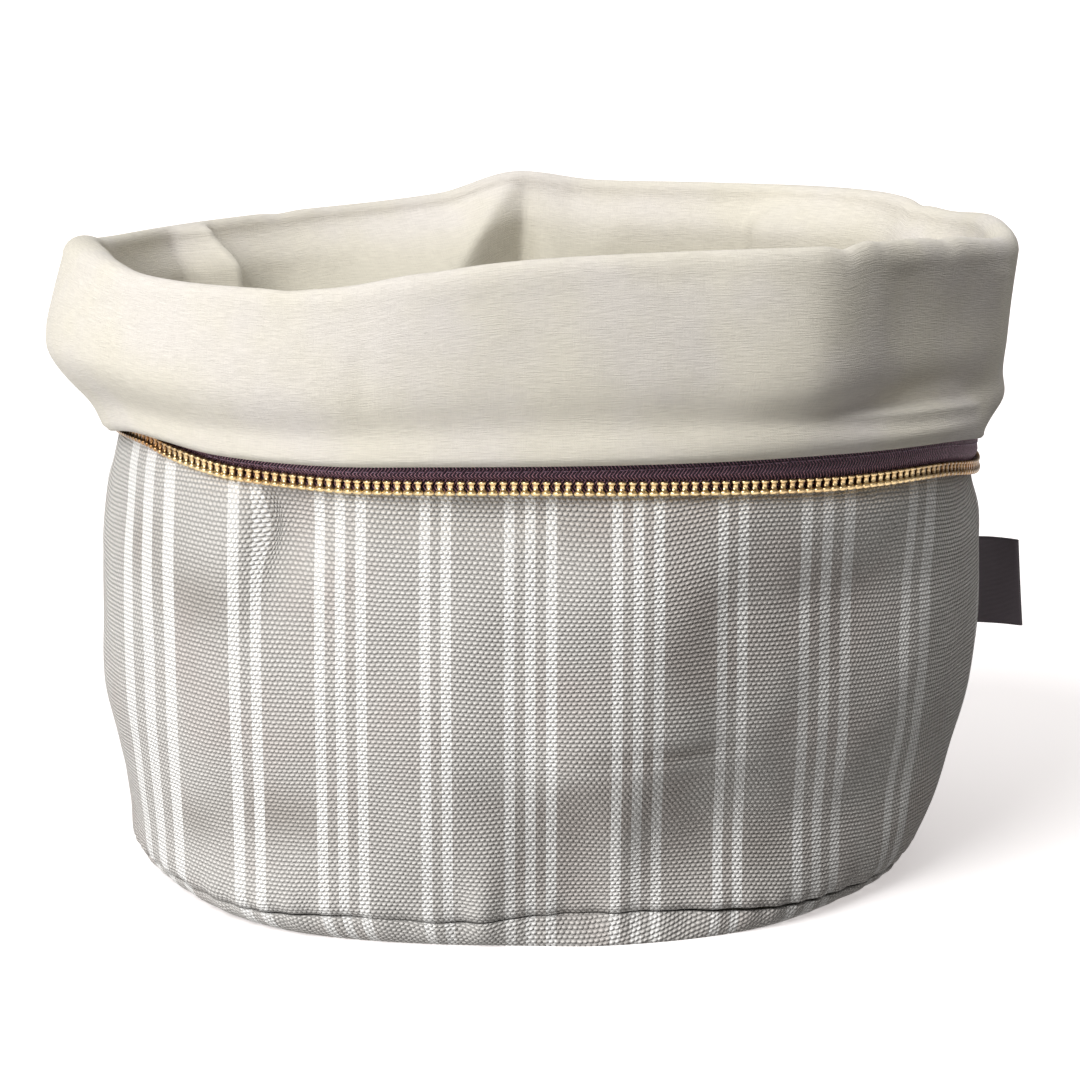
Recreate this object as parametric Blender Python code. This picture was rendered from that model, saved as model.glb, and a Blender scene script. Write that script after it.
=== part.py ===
"""Bread warmer bag: a round bag of striped canvas, its mouth turned down into a wide cream cuff.

Metres, +Z up. The origin is the middle of the base on the surface the bag stands on. Angles are in
degrees round the bag: 0 is the front (-Y), 90 the right side (+X), 180 the back and -90 the left side.
"""

from math import cos, exp, pi, radians, sin

import bmesh
import bpy

COLUMNS = 72  # facets round the bag

GAP = 0.0003  # air between sewn neighbours
WALL_THICK = 0.0016
LINING_THICK = 0.0020
BASE_THICK = 0.0020
TAPE_THICK = 0.0010
TAPE_STAND_OFF = 0.0005  # tape and teeth lie this far off the wall
TEETH_THICK = 0.0017
TEETH_TALL = 0.0033
HEM_STAND_OFF = 0.0027  # back of the cuff's hem, off the wall
HEM_PRESS = 0.2  # share of the cuff's rise that is pressed against tape and teeth
TAPE_UNDER_CUFF = 0.0060  # how far the tape runs up behind the hem
ROLL = 0.0045  # outer radius of the rolled rim
WALL_BELOW_RIM = 0.0110  # the wall ends this far under the rim, inside the roll
WALL_TUCK = 0.0010  # top of the wall lies this far inside the roll's middle
WAIST = 0.112  # height where the wall is drawn in behind the hem
SQUARENESS = 2.12  # 2 is an ellipse in plan, more is squarer
FULL_TURN = 360.0
HALF_TURN = 180.0

# The canvas wall from its seam upwards: radius of its outer face on each side.
WALL_GIRTH = (
    # height, left, front, right, back
    (0.003, 0.0992, 0.0903, 0.0912, 0.0905),
    (0.008, 0.1018, 0.0922, 0.0948, 0.0925),
    (0.018, 0.1026, 0.0942, 0.0994, 0.0950),
    (0.034, 0.1052, 0.0975, 0.1036, 0.0985),
    (0.048, 0.1078, 0.1005, 0.1070, 0.1010),
    (0.064, 0.1083, 0.1020, 0.1088, 0.1025),
    (0.084, 0.1079, 0.1020, 0.1090, 0.1028),
    (0.097, 0.1062, 0.1006, 0.1064, 0.1018),
    (0.106, 0.1042, 0.0996, 0.1060, 0.1008),
    (0.114, 0.1025, 0.0994, 0.1060, 0.1006),
)
WALL_STEPS = (0.016, 0.034, 0.054, 0.074, 0.090, 0.102, 0.112)  # heights of the wall's facet rows

# The cuff from its hem (0) to the start of the rolled rim (1): radius of its outer face.
CUFF_GIRTH = (
    # rise, left, front, right, back
    (0.00, 0.1064, 0.1038, 0.1092, 0.1045),
    (0.14, 0.1098, 0.1056, 0.1116, 0.1064),
    (0.30, 0.1160, 0.1074, 0.1137, 0.1084),
    (0.46, 0.1204, 0.1084, 0.1147, 0.1096),
    (0.60, 0.1206, 0.1086, 0.1153, 0.1099),
    (0.76, 0.1191, 0.1086, 0.1160, 0.1100),
    (1.00, 0.1163, 0.1082, 0.1172, 0.1098),
)
CUFF_STEPS = (0.0, 0.16, 0.36, 0.56, 0.76, 1.0)
ROLL_STEPS = (45.0, 90.0, 135.0, 180.0)  # degrees over the rim, from outside to inside

# Heights that wander round the bag.
EDGES = (
    # angle, base seam, lowest point of the teeth, cuff hem, top of the rim
    (-176.0, 0.0050, 0.1080, 0.1150, 0.1652),
    (-165.0, 0.0048, 0.1086, 0.1150, 0.1594),
    (-140.0, 0.0046, 0.1098, 0.1142, 0.1556),
    (-115.0, 0.0048, 0.1100, 0.1118, 0.1536),
    (-100.0, 0.0052, 0.1094, 0.1102, 0.1542),
    (-88.0, 0.0056, 0.1092, 0.1100, 0.1567),
    (-74.0, 0.0060, 0.1108, 0.1118, 0.1572),
    (-62.0, 0.0056, 0.1110, 0.1143, 0.1550),
    (-54.0, 0.0052, 0.1092, 0.1142, 0.1530),
    (-42.0, 0.0050, 0.1070, 0.1128, 0.1520),
    (-26.0, 0.0066, 0.1060, 0.1125, 0.1524),
    (-13.0, 0.0060, 0.1064, 0.1133, 0.1568),
    (0.0, 0.0074, 0.1066, 0.1137, 0.1596),
    (20.0, 0.0070, 0.1060, 0.1139, 0.1612),
    (38.0, 0.0048, 0.1049, 0.1140, 0.1616),
    (60.0, 0.0036, 0.1040, 0.1128, 0.1604),
    (80.0, 0.0038, 0.1003, 0.1092, 0.1576),
    (100.0, 0.0042, 0.1002, 0.1084, 0.1600),
    (114.0, 0.0043, 0.1014, 0.1092, 0.1592),
    (128.0, 0.0044, 0.1030, 0.1102, 0.1622),
    (155.0, 0.0048, 0.1060, 0.1132, 0.1627),
    (172.0, 0.0050, 0.1074, 0.1146, 0.1630),
)
SEAM, TEETH_LOW, HEM, RIM = 1, 2, 3, 4  # columns of EDGES

# Soft folds: a swelling (+) or hollow (-) with its own spread each way.
WALL_FOLDS = (
    # angle, spread before, spread after, height, reach below, reach above, depth
    (-43.0, 6.0, 3.5, 0.090, 0.030, 0.016, 0.0016),
    (-33.0, 5.0, 9.0, 0.094, 0.020, 0.010, -0.0026),
    (-3.0, 9.0, 6.0, 0.030, 0.024, 0.030, -0.0030),
    (9.0, 6.0, 9.0, 0.034, 0.030, 0.030, 0.0018),
    (14.0, 9.0, 10.0, 0.086, 0.026, 0.012, 0.0018),
    (-67.0, 13.0, 13.0, 0.004, 0.010, 0.016, -0.0020),
    (-38.0, 16.0, 16.0, 0.004, 0.010, 0.022, 0.0036),
    (56.0, 16.0, 20.0, 0.004, 0.010, 0.020, -0.0036),
    (70.0, 14.0, 10.0, 0.040, 0.026, 0.026, -0.0016),
    (150.0, 10.0, 12.0, 0.060, 0.040, 0.026, -0.0024),
    (-140.0, 12.0, 10.0, 0.052, 0.036, 0.030, -0.0022),
)
CUFF_FOLDS = (
    (63.0, 20.0, 15.0, 0.138, 0.014, 0.016, -0.0034),
    (-27.0, 13.0, 12.0, 0.150, 0.020, 0.012, -0.0016),
    (34.0, 12.0, 12.0, 0.124, 0.010, 0.016, 0.0014),
    (-150.0, 14.0, 14.0, 0.132, 0.016, 0.018, -0.0030),
    (140.0, 12.0, 14.0, 0.134, 0.016, 0.018, 0.0024),
)
LINING_FOLDS = (
    (-166.0, 9.0, 10.0, 0.146, 0.060, 0.030, 0.0070),
    (-125.0, 6.0, 6.0, 0.150, 0.050, 0.030, 0.0055),
    (136.0, 7.0, 8.0, 0.146, 0.050, 0.022, 0.0040),
    (114.0, 7.0, 9.0, 0.148, 0.040, 0.022, 0.0030),
    (40.0, 12.0, 10.0, 0.120, 0.050, 0.030, 0.0030),
    (-60.0, 12.0, 14.0, 0.110, 0.050, 0.030, 0.0030),
)

BASE_OUTLINE = (0.0, 0.0920, 0.0868, 0.0850, 0.0868)  # flat underside: left, front, right, back
BASE_BEND = 0.72  # where the turned-up edge bends, from the flat outline to the seam
BASE_BEND_RISE = 0.35
BASE_INSET = 0.0009  # the lip stands this far inside the wall's lower edge
LINING_FLOOR_THICK = 0.0020

LABEL_ANGLE = 92.0
LABEL_WIDE = 0.0105  # how far it stands out of the seam
LABEL_TALL = 0.0218
LABEL_THICK = 0.0012
LABEL_MIDDLE = 0.0700  # height of its middle
LABEL_LEAN = 0.0010  # its free end drops by this much
LABEL_ROWS = 5
LABEL_STEPS = 4
LABEL_CURL = 0.0012  # its middle bows towards the back

STRIPED_CANVAS = ("striped_canvas", (0.52, 0.50, 0.47), 0.9, 0.0)
CREAM_COTTON = ("cream_cotton", (0.84, 0.79, 0.70), 0.9, 0.0)
PLUM_TAPE = ("plum_tape", (0.055, 0.030, 0.040), 0.8, 0.0)
BRASS = ("brass", (0.62, 0.42, 0.16), 0.35, 1.0)
DARK_RIBBON = ("dark_ribbon", (0.035, 0.022, 0.026), 0.6, 0.0)


def smooth_value(rows, key, column):
    """The column's value at a key, on a smooth curve through the rows of a table."""
    if key <= rows[0][0]:
        return rows[0][column]
    if key >= rows[-1][0]:
        return rows[-1][column]
    after = next(i for i, row in enumerate(rows) if row[0] > key)
    start, end = rows[after - 1], rows[after]
    before = rows[max(after - 2, 0)]
    beyond = rows[min(after + 1, len(rows) - 1)]
    span = end[0] - start[0]
    share = (key - start[0]) / span
    slope_in = (end[column] - before[column]) / (end[0] - before[0]) * span
    slope_out = (beyond[column] - start[column]) / (beyond[0] - start[0]) * span
    square, cube = share**2, share**3
    return (
        (2 * cube - 3 * square + 1) * start[column]
        + (cube - 2 * square + share) * slope_in
        + (3 * square - 2 * cube) * end[column]
        + (cube - square) * slope_out
    )


def around(angle):
    """The same direction as an angle from -180 to 180."""
    return (angle + HALF_TURN) % FULL_TURN - HALF_TURN


def edge_height(angle, column):
    """Height of one of the edges that run round the bag."""
    turned = [(row[0] + turn,) + row[1:] for turn in (-FULL_TURN, 0.0, FULL_TURN) for row in EDGES]
    return smooth_value(turned, around(angle), column)


def side_mix(angle, row):
    """Radius at an angle, from a table row's radii at the left, front, right and back."""
    across, along = sin(radians(angle)), cos(radians(angle))
    side = row[3] if across > 0 else row[1]
    face = row[2] if along > 0 else row[4]
    sum_of_powers = (abs(across) / side) ** SQUARENESS + (abs(along) / face) ** SQUARENESS
    return sum_of_powers ** (-1 / SQUARENESS)


def girth(rows, angle, key):
    """Radius at an angle and a key, from a table of radii on the four sides."""
    return side_mix(angle, [key] + [smooth_value(rows, key, side) for side in (1, 2, 3, 4)])


def swell(folds, angle, height):
    """Sum of a table's soft folds at one place."""
    total = 0.0
    for middle, before, after, centre, below, above, depth in folds:
        turn = around(angle - middle)
        turn /= after if turn > 0 else before
        rise = height - centre
        rise /= above if rise > 0 else below
        total += depth * exp(-turn * turn - rise * rise)
    return total


def cuff_radius(angle, rise):
    """Outer face of the cuff, from its hem at 0 to the rolled rim at 1."""
    height = cuff_height(angle, rise)
    free = girth(CUFF_GIRTH, angle, rise) + rise * swell(CUFF_FOLDS, angle, height)
    if rise > HEM_PRESS:
        return free
    return max(free, wall_face(angle, height) + HEM_STAND_OFF + LINING_THICK)


def cuff_height(angle, rise):
    hem = edge_height(angle, HEM)
    return hem + rise * (edge_height(angle, RIM) - ROLL - hem)


def roll_centre(angle):
    """Radius of the middle of the rolled rim."""
    return cuff_radius(angle, 1.0) - ROLL


def wall_top(angle):
    return edge_height(angle, RIM) - WALL_BELOW_RIM


def wall_radius(angle, height):
    """Outer face of the canvas wall. Above the waist it leans out to the rolled rim."""
    if height <= WAIST:
        return girth(WALL_GIRTH, angle, height) + swell(WALL_FOLDS, angle, height)
    share = (height - WAIST) / (wall_top(angle) - WAIST)
    ease = share * share * (3 - 2 * share)
    top = roll_centre(angle) - WALL_TUCK + WALL_THICK / 2
    return (1 - ease) * wall_radius(angle, WAIST) + ease * top


def lining_radius(angle, height):
    """Inner face of the lining, which hangs just inside the wall."""
    inside = wall_radius(angle, height) - WALL_THICK - GAP - LINING_THICK
    return inside - swell(LINING_FOLDS, angle, height)


def wall_heights(angle):
    """Heights of the facet rows of the wall and the lining."""
    return (edge_height(angle, SEAM) + GAP,) + WALL_STEPS + (wall_top(angle),)


def wall_face(angle, height):
    """Outer face of the wall's facets, which run straight between their rows."""
    rows = wall_heights(angle)
    above = next((i for i, row in enumerate(rows) if row > height), len(rows) - 1)
    low, high = rows[max(above - 1, 0)], rows[max(above, 1)]
    share = (height - low) / (high - low)
    return (1 - share) * wall_radius(angle, low) + share * wall_radius(angle, high)


def wall_section(angle):
    """The canvas wall's section at an angle: its outer face upwards, then its inner face down."""
    outer = [(wall_radius(angle, height), height) for height in wall_heights(angle)]
    return outer + [(radius - WALL_THICK, height) for radius, height in reversed(outer)]


def lining_section(angle):
    """Cuff and lining in one: up from the hem, over the rim and down inside; then the hidden face."""
    middle = roll_centre(angle)
    top = edge_height(angle, RIM) - ROLL
    shown, hidden = [], []
    for rise in CUFF_STEPS:
        radius, height = cuff_radius(angle, rise), cuff_height(angle, rise)
        shown.append((radius, height))
        hidden.append((radius - LINING_THICK, height))
    for turn in ROLL_STEPS:
        out, up = cos(radians(turn)), sin(radians(turn))
        shown.append((middle + ROLL * out, top + ROLL * up))
        hidden.append((middle + (ROLL - LINING_THICK) * out, top + (ROLL - LINING_THICK) * up))
    for height in reversed(wall_heights(angle)):
        radius = lining_radius(angle, height)
        shown.append((radius, height))
        hidden.append((radius + LINING_THICK, height))
    return hidden[::-1] + shown


def tape_section(angle):
    """The woven tape that carries the teeth, from just above them to behind the cuff's hem."""
    low = edge_height(angle, TEETH_LOW) + TEETH_TALL + GAP
    high = edge_height(angle, HEM) + TAPE_UNDER_CUFF
    inner = [(wall_face(angle, height) + TAPE_STAND_OFF, height) for height in (low, high)]
    outer = [(radius + TAPE_THICK, height) for radius, height in inner]
    return outer + inner[::-1]


def teeth_section(angle):
    """The envelope of the row of metal teeth along the tape's lower edge."""
    low = edge_height(angle, TEETH_LOW)
    inner = [
        (wall_face(angle, height) + TAPE_STAND_OFF, height)
        for height in (low, low + TEETH_TALL)
    ]
    outer = [(radius + TEETH_THICK, height) for radius, height in inner]
    return outer + inner[::-1]


def base_outline(angle):
    """Radius of the flat underside."""
    return side_mix(angle, BASE_OUTLINE) + swell(WALL_FOLDS, angle, 0.0)


def base_section(angle):
    """The base: a flat floor whose edge turns up to the seam. From the middle below to the middle above."""
    seam = edge_height(angle, SEAM)
    flat = base_outline(angle)
    lip = wall_radius(angle, seam) - BASE_INSET
    bend = flat + BASE_BEND * (lip - flat)
    outer = [(flat, 0.0), (bend, BASE_BEND_RISE * seam), (lip, seam)]
    inner = [(lip - BASE_THICK, seam), (flat - BASE_THICK / 2, BASE_THICK)]
    return outer + inner


def lining_floor_section(angle):
    """The cream disc that lies in the base."""
    edge = base_outline(angle) - BASE_THICK
    low = BASE_THICK + GAP
    return [(edge, low), (edge, low + LINING_FLOOR_THICK)]


def place(angle, radius, height):
    """A point round the bag."""
    return (radius * sin(radians(angle)), -radius * cos(radians(angle)), height)


def skin(bm, lower, upper, flip):
    """Two triangles for each facet between two columns, split along the rising diagonal."""
    for (a, b), (c, d) in zip(zip(lower, lower[1:]), zip(upper, upper[1:])):
        rising = b.co.z >= a.co.z
        faces = ((a, c, d), (a, d, b)) if rising else ((a, c, b), (c, d, b))
        for face in faces:
            bm.faces.new(face[::-1] if flip else face)


def finish_object(bm, name, material_values):
    """Make an object of the mesh, with its material."""
    bmesh.ops.recalc_face_normals(bm, faces=bm.faces)
    mesh = bpy.data.meshes.new(name)
    bm.to_mesh(mesh)
    bm.free()
    material_name, colour, roughness, metallic = material_values
    material = bpy.data.materials.get(material_name) or bpy.data.materials.new(material_name)
    material.use_nodes = True
    shader = material.node_tree.nodes["Principled BSDF"]
    shader.inputs["Base Color"].default_value = (*colour, 1.0)
    shader.inputs["Roughness"].default_value = roughness
    shader.inputs["Metallic"].default_value = metallic
    mesh.materials.append(material)
    mesh.shade_smooth()
    mesh.set_sharp_from_angle(angle=radians(40))
    made = bpy.data.objects.new(name, mesh)
    bpy.context.collection.objects.link(made)
    return made


def columns_round(bm, section):
    """The section's points at each angle round the bag."""
    columns = []
    for step in range(COLUMNS):
        angle = -HALF_TURN + step * FULL_TURN / COLUMNS
        columns.append([bm.verts.new(place(angle, *point)) for point in section(angle)])
    return columns


def ring_piece(name, section, material_values):
    """A piece that runs round the bag as a closed band."""
    bm = bmesh.new()
    columns = columns_round(bm, section)
    for left, right in zip(columns, columns[1:] + columns[:1]):
        skin(bm, left + left[:1], right + right[:1], flip=False)
    return finish_object(bm, name, material_values)


def disc_piece(name, section, material_values):
    """A piece that closes across the middle of the bag, below and above."""
    bm = bmesh.new()
    columns = columns_round(bm, section)
    below = bm.verts.new((0.0, 0.0, columns[0][0].co.z))
    above = bm.verts.new((0.0, 0.0, columns[0][-1].co.z))
    for left, right in zip(columns, columns[1:] + columns[:1]):
        skin(bm, left, right, flip=False)
        bm.faces.new((below, right[0], left[0]))
        bm.faces.new((above, left[-1], right[-1]))
    return finish_object(bm, name, material_values)


def label_ring(share):
    """The label's outline at a share of its width: up its front face, then down its back face."""
    foot_gap = GAP + share * LABEL_WIDE
    bow = LABEL_CURL * sin(pi * share)
    low = LABEL_MIDDLE - LABEL_TALL / 2
    heights = [low + LABEL_TALL * row / LABEL_ROWS for row in range(LABEL_ROWS + 1)]
    free_end = wall_face(LABEL_ANGLE, LABEL_MIDDLE)
    ring = []
    for side, order in ((-1, heights), (1, heights[::-1])):
        for height in order:
            foot = (1 - share) * wall_face(LABEL_ANGLE, height) + share * free_end
            x, y, z = place(LABEL_ANGLE, foot + foot_gap, height - LABEL_LEAN * share)
            ring.append((x, y + bow + side * LABEL_THICK / 2, z))
    return ring


def label_piece():
    """The folded ribbon that stands out of the right side seam, bare on both faces."""
    bm = bmesh.new()
    rings = []
    for step in range(LABEL_STEPS + 1):
        rings.append([bm.verts.new(point) for point in label_ring(step / LABEL_STEPS)])
    for near, far in zip(rings, rings[1:]):
        for i in range(len(near)):
            j = (i + 1) % len(near)
            bm.faces.new((near[i], near[j], far[j], far[i]))
    for end in (rings[0], rings[-1]):
        for row in range(LABEL_ROWS):
            bm.faces.new((end[row], end[row + 1], end[-2 - row], end[-1 - row]))
    bmesh.ops.triangulate(bm, faces=bm.faces)
    return finish_object(bm, "label", DARK_RIBBON)


def build():
    for old in list(bpy.data.objects):
        bpy.data.objects.remove(old)
    ring_piece("canvas_wall", wall_section, STRIPED_CANVAS)
    disc_piece("canvas_base", base_section, STRIPED_CANVAS)
    ring_piece("lining_cuff", lining_section, CREAM_COTTON)
    disc_piece("lining_floor", lining_floor_section, CREAM_COTTON)
    ring_piece("zip_tape", tape_section, PLUM_TAPE)
    ring_piece("zip_teeth", teeth_section, BRASS)
    label_piece()


build()
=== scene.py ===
# %% [markdown]
# # A bread warmer bag
# The bag is a round wall of striped cotton duck sewn to a flat base. A cream cotton lining hangs
# inside it, comes up over the mouth and is turned down outside as a wide cuff. Under the cuff's hem
# runs half of a metal zip: plum tape with a row of brass teeth.
# A bag like this could be sculpted from a cylinder, but then its cloths would drift apart. Here every
# cloth that runs round the bag is made from a section: a line of points at one angle, repeated all
# the way round and joined up. All sections read the same tables, so the cloths stay together. At
# the seams and in some hidden places they still run into each other by a millimetre or so.

# %% The frame and the tools
from functools import lru_cache
from math import asin, atan2, cos, degrees, exp, pi, radians, sin, sqrt, tan

import bmesh
import bpy
from mathutils import Matrix, Vector


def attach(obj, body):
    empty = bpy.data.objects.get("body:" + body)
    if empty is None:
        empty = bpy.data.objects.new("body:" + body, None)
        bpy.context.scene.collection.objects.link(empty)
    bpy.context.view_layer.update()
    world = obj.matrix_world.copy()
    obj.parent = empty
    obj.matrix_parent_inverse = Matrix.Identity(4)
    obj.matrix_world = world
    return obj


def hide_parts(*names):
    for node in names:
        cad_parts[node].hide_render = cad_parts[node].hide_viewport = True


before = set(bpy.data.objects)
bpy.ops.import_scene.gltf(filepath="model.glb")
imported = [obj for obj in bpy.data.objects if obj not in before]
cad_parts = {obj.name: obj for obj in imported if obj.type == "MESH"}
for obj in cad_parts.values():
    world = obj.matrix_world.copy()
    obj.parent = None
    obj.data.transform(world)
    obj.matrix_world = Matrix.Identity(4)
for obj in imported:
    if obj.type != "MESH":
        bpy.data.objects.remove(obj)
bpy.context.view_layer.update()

# %% [markdown]
# ## Camera
# The bag is seen from the front, from a little above the rim. A camera's angles could be typed in,
# but it is easier to aim it: the way from the camera to a point on the bag is turned into angles. A
# long lens from further off keeps the bag's sides upright.

# %% Camera
camera_data = bpy.data.cameras.new("camera")
camera_data.lens = 126.17
camera_data.sensor_width = 36.0
camera_data.clip_end = 100.0
camera = bpy.data.objects.new("camera", camera_data)
bpy.context.collection.objects.link(camera)
camera.location = (0.0, -0.930, 0.2313)
looking = Vector((0.0, 0.0, 0.0805)) - camera.location
camera.rotation_euler = looking.to_track_quat("-Z", "Y").to_euler()
bpy.context.scene.camera = camera
print("camera looks down by", round(degrees(atan2(-looking.z, looking.y)), 2), "degrees")

# %% [markdown]
# ## Light and floor
# Cloth shows its folds by soft light from one side. Lamps with a size could stand round the bag, but
# a sun with a wide angle gives the same soft shade and has no distance to balance. The key stands on
# the left, a little in front and above. A weaker one fills from the far left, a third comes up from
# below, as off a white table, and a fourth comes down from a pale ceiling and keeps the tops of the
# folds bright. One from the right and a dim even light from all round keep the shaded side from
# going black. The floor is pale and takes the shadow, but it neither blocks the low light nor throws
# light back at the bag, which would flatten its folds.

# %% Light and floor
LIGHTS = (
    # name, degrees round from the front, degrees up, strength, width of the light in degrees
    ("key", -33.0, 34.0, 2.62, 32.0),
    ("side", -85.0, 5.0, 0.4, 60.0),
    ("low", -70.0, -35.0, 1.6, 70.0),
    ("above", -60.0, 66.0, 1.0, 80.0),
    ("right", 90.0, 54.0, 0.76, 90.0),
)
for name, side, height, strength, width in LIGHTS:
    light_data = bpy.data.lights.new(name, "SUN")
    light_data.energy = strength
    light_data.angle = radians(width)
    light = bpy.data.objects.new(name, light_data)
    bpy.context.collection.objects.link(light)
    towards_light = Vector((sin(radians(side)), -cos(radians(side)), tan(radians(height))))
    light.rotation_euler = towards_light.to_track_quat("Z", "Y").to_euler()

world = bpy.data.worlds.new("studio")
world.use_nodes = True
world.node_tree.nodes["Background"].inputs["Color"].default_value = (1.0, 0.955, 0.92, 1.0)
world.node_tree.nodes["Background"].inputs["Strength"].default_value = 0.10
bpy.context.scene.world = world
bpy.context.scene.view_settings.view_transform = "Standard"

bpy.ops.object.select_all(action="DESELECT")
bpy.ops.mesh.primitive_plane_add(size=60.0, location=(0.0, 20.0, 0.0))
floor_sheet = bpy.context.object
floor_sheet.name = "studio_floor"
floor_paint = bpy.data.materials.new("floor_paint")
floor_paint.use_nodes = True
floor_shader = floor_paint.node_tree.nodes["Principled BSDF"]
floor_shader.inputs["Base Color"].default_value = (0.92, 0.905, 0.90, 1.0)
floor_shader.inputs["Roughness"].default_value = 0.9
floor_shader.inputs["Specular IOR Level"].default_value = 0.0
floor_shader.inputs["Emission Color"].default_value = (1.0, 0.94, 0.93, 1.0)
floor_shader.inputs["Emission Strength"].default_value = 0.40
floor_sheet.data.materials.append(floor_paint)
floor_sheet.visible_diffuse = False
floor_sheet.visible_shadow = False
print("lights and floor are in")

# %% [markdown]
# ## Sizes of the bag
# Angles are degrees round the bag: 0 is the front, 90 the right side, 180 the back. Each table gives
# a radius on the four sides at several heights, and a smooth curve runs through its rows. A few
# measured rows are easier to read and to mend than a long list of points. These are the same sizes
# as the solid model's, so the cloth lies where the solids are, apart from the creases, the corners
# and the deep folds inside the mouth, which come later and belong to the cloth alone.

# %% Sizes of the bag
GAP = 0.0003
WALL_THICK = 0.0016
LINING_THICK = 0.0020
BASE_THICK = 0.0020
TAPE_STAND_OFF = 0.0005
TEETH_TALL = 0.0033
HEM_STAND_OFF = 0.0027
HEM_PRESS = 0.2
HEM_THICK = 0.0012
CUFF_CLEAR = 0.0026
TAPE_UNDER_CUFF = 0.0060
ROLL = 0.0045
WALL_BELOW_RIM = 0.0110
WALL_TUCK = 0.0010
WAIST = 0.112
SQUARENESS = 2.12
FULL_TURN = 360.0
HALF_TURN = 180.0

WALL_GIRTH = (
    # height, left, front, right, back
    (0.003, 0.0992, 0.0903, 0.0912, 0.0905),
    (0.008, 0.1018, 0.0922, 0.0948, 0.0925),
    (0.018, 0.1026, 0.0942, 0.0994, 0.0950),
    (0.034, 0.1052, 0.0975, 0.1036, 0.0985),
    (0.048, 0.1078, 0.1005, 0.1070, 0.1010),
    (0.064, 0.1083, 0.1020, 0.1088, 0.1025),
    (0.084, 0.1079, 0.1020, 0.1090, 0.1028),
    (0.097, 0.1062, 0.1006, 0.1064, 0.1018),
    (0.106, 0.1042, 0.0996, 0.1060, 0.1008),
    (0.114, 0.1025, 0.0994, 0.1060, 0.1006),
)
WALL_STEPS = (0.016, 0.034, 0.054, 0.074, 0.090, 0.102, 0.112)
CUFF_GIRTH = (
    # rise, left, front, right, back
    (0.00, 0.1064, 0.1038, 0.1092, 0.1045),
    (0.14, 0.1098, 0.1056, 0.1116, 0.1064),
    (0.30, 0.1160, 0.1074, 0.1137, 0.1084),
    (0.46, 0.1204, 0.1084, 0.1147, 0.1096),
    (0.60, 0.1206, 0.1086, 0.1153, 0.1099),
    (0.76, 0.1191, 0.1086, 0.1160, 0.1100),
    (1.00, 0.1163, 0.1082, 0.1172, 0.1098),
)
EDGES = (
    # angle, base seam, lowest point of the teeth, cuff hem, top of the rim
    (-176.0, 0.0050, 0.1080, 0.1150, 0.1652),
    (-165.0, 0.0048, 0.1086, 0.1150, 0.1594),
    (-140.0, 0.0046, 0.1098, 0.1142, 0.1556),
    (-115.0, 0.0048, 0.1100, 0.1118, 0.1536),
    (-100.0, 0.0052, 0.1094, 0.1102, 0.1542),
    (-88.0, 0.0056, 0.1092, 0.1100, 0.1567),
    (-74.0, 0.0060, 0.1108, 0.1118, 0.1572),
    (-62.0, 0.0056, 0.1110, 0.1143, 0.1550),
    (-54.0, 0.0052, 0.1092, 0.1142, 0.1530),
    (-42.0, 0.0050, 0.1070, 0.1128, 0.1520),
    (-26.0, 0.0066, 0.1060, 0.1125, 0.1524),
    (-13.0, 0.0060, 0.1064, 0.1133, 0.1568),
    (0.0, 0.0074, 0.1066, 0.1137, 0.1596),
    (20.0, 0.0070, 0.1060, 0.1139, 0.1612),
    (38.0, 0.0048, 0.1049, 0.1140, 0.1616),
    (60.0, 0.0036, 0.1040, 0.1128, 0.1604),
    (80.0, 0.0038, 0.1003, 0.1092, 0.1576),
    (100.0, 0.0042, 0.1002, 0.1084, 0.1600),
    (114.0, 0.0043, 0.1014, 0.1092, 0.1592),
    (128.0, 0.0044, 0.1030, 0.1102, 0.1622),
    (155.0, 0.0048, 0.1060, 0.1132, 0.1627),
    (172.0, 0.0050, 0.1074, 0.1146, 0.1630),
)
SEAM, TEETH_LOW, HEM, RIM = 1, 2, 3, 4
BASE_OUTLINE = (0.0, 0.0920, 0.0868, 0.0850, 0.0868)
BASE_BEND = 0.72
BASE_BEND_RISE = 0.35
BASE_INSET = 0.0009
print("tables:", len(WALL_GIRTH), "rows of wall,", len(CUFF_GIRTH), "of cuff,", len(EDGES), "of edges")

# %% [markdown]
# ## Folds of the canvas
# A fold is a soft swelling or hollow with its own spread each way. Blender could drop a simulated
# cloth into folds, but they would fall where they like. Stiff canvas keeps the dents of handling, so
# its main creases are listed, one row each. The folds are the solid's own. The creases and
# the corner, the flat at the front right where the wall is pressed in, are the cloth's alone, and
# there it lies up to about 9 mm in from the solid.

# %% Folds of the canvas
WALL_FOLDS = (
    # angle, spread before, spread after, height, reach below, reach above, depth
    (-43.0, 6.0, 3.5, 0.090, 0.030, 0.016, 0.0016),
    (-33.0, 5.0, 9.0, 0.094, 0.020, 0.010, -0.0026),
    (-3.0, 9.0, 6.0, 0.030, 0.024, 0.030, -0.0030),
    (9.0, 6.0, 9.0, 0.034, 0.030, 0.030, 0.0018),
    (14.0, 9.0, 10.0, 0.086, 0.026, 0.012, 0.0018),
    (-67.0, 13.0, 13.0, 0.004, 0.010, 0.016, -0.0020),
    (-38.0, 16.0, 16.0, 0.004, 0.010, 0.022, 0.0036),
    (56.0, 16.0, 20.0, 0.004, 0.010, 0.020, -0.0036),
    (70.0, 14.0, 10.0, 0.040, 0.026, 0.026, -0.0016),
    (150.0, 10.0, 12.0, 0.060, 0.040, 0.026, -0.0024),
    (-140.0, 12.0, 10.0, 0.052, 0.036, 0.030, -0.0022),
)
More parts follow.
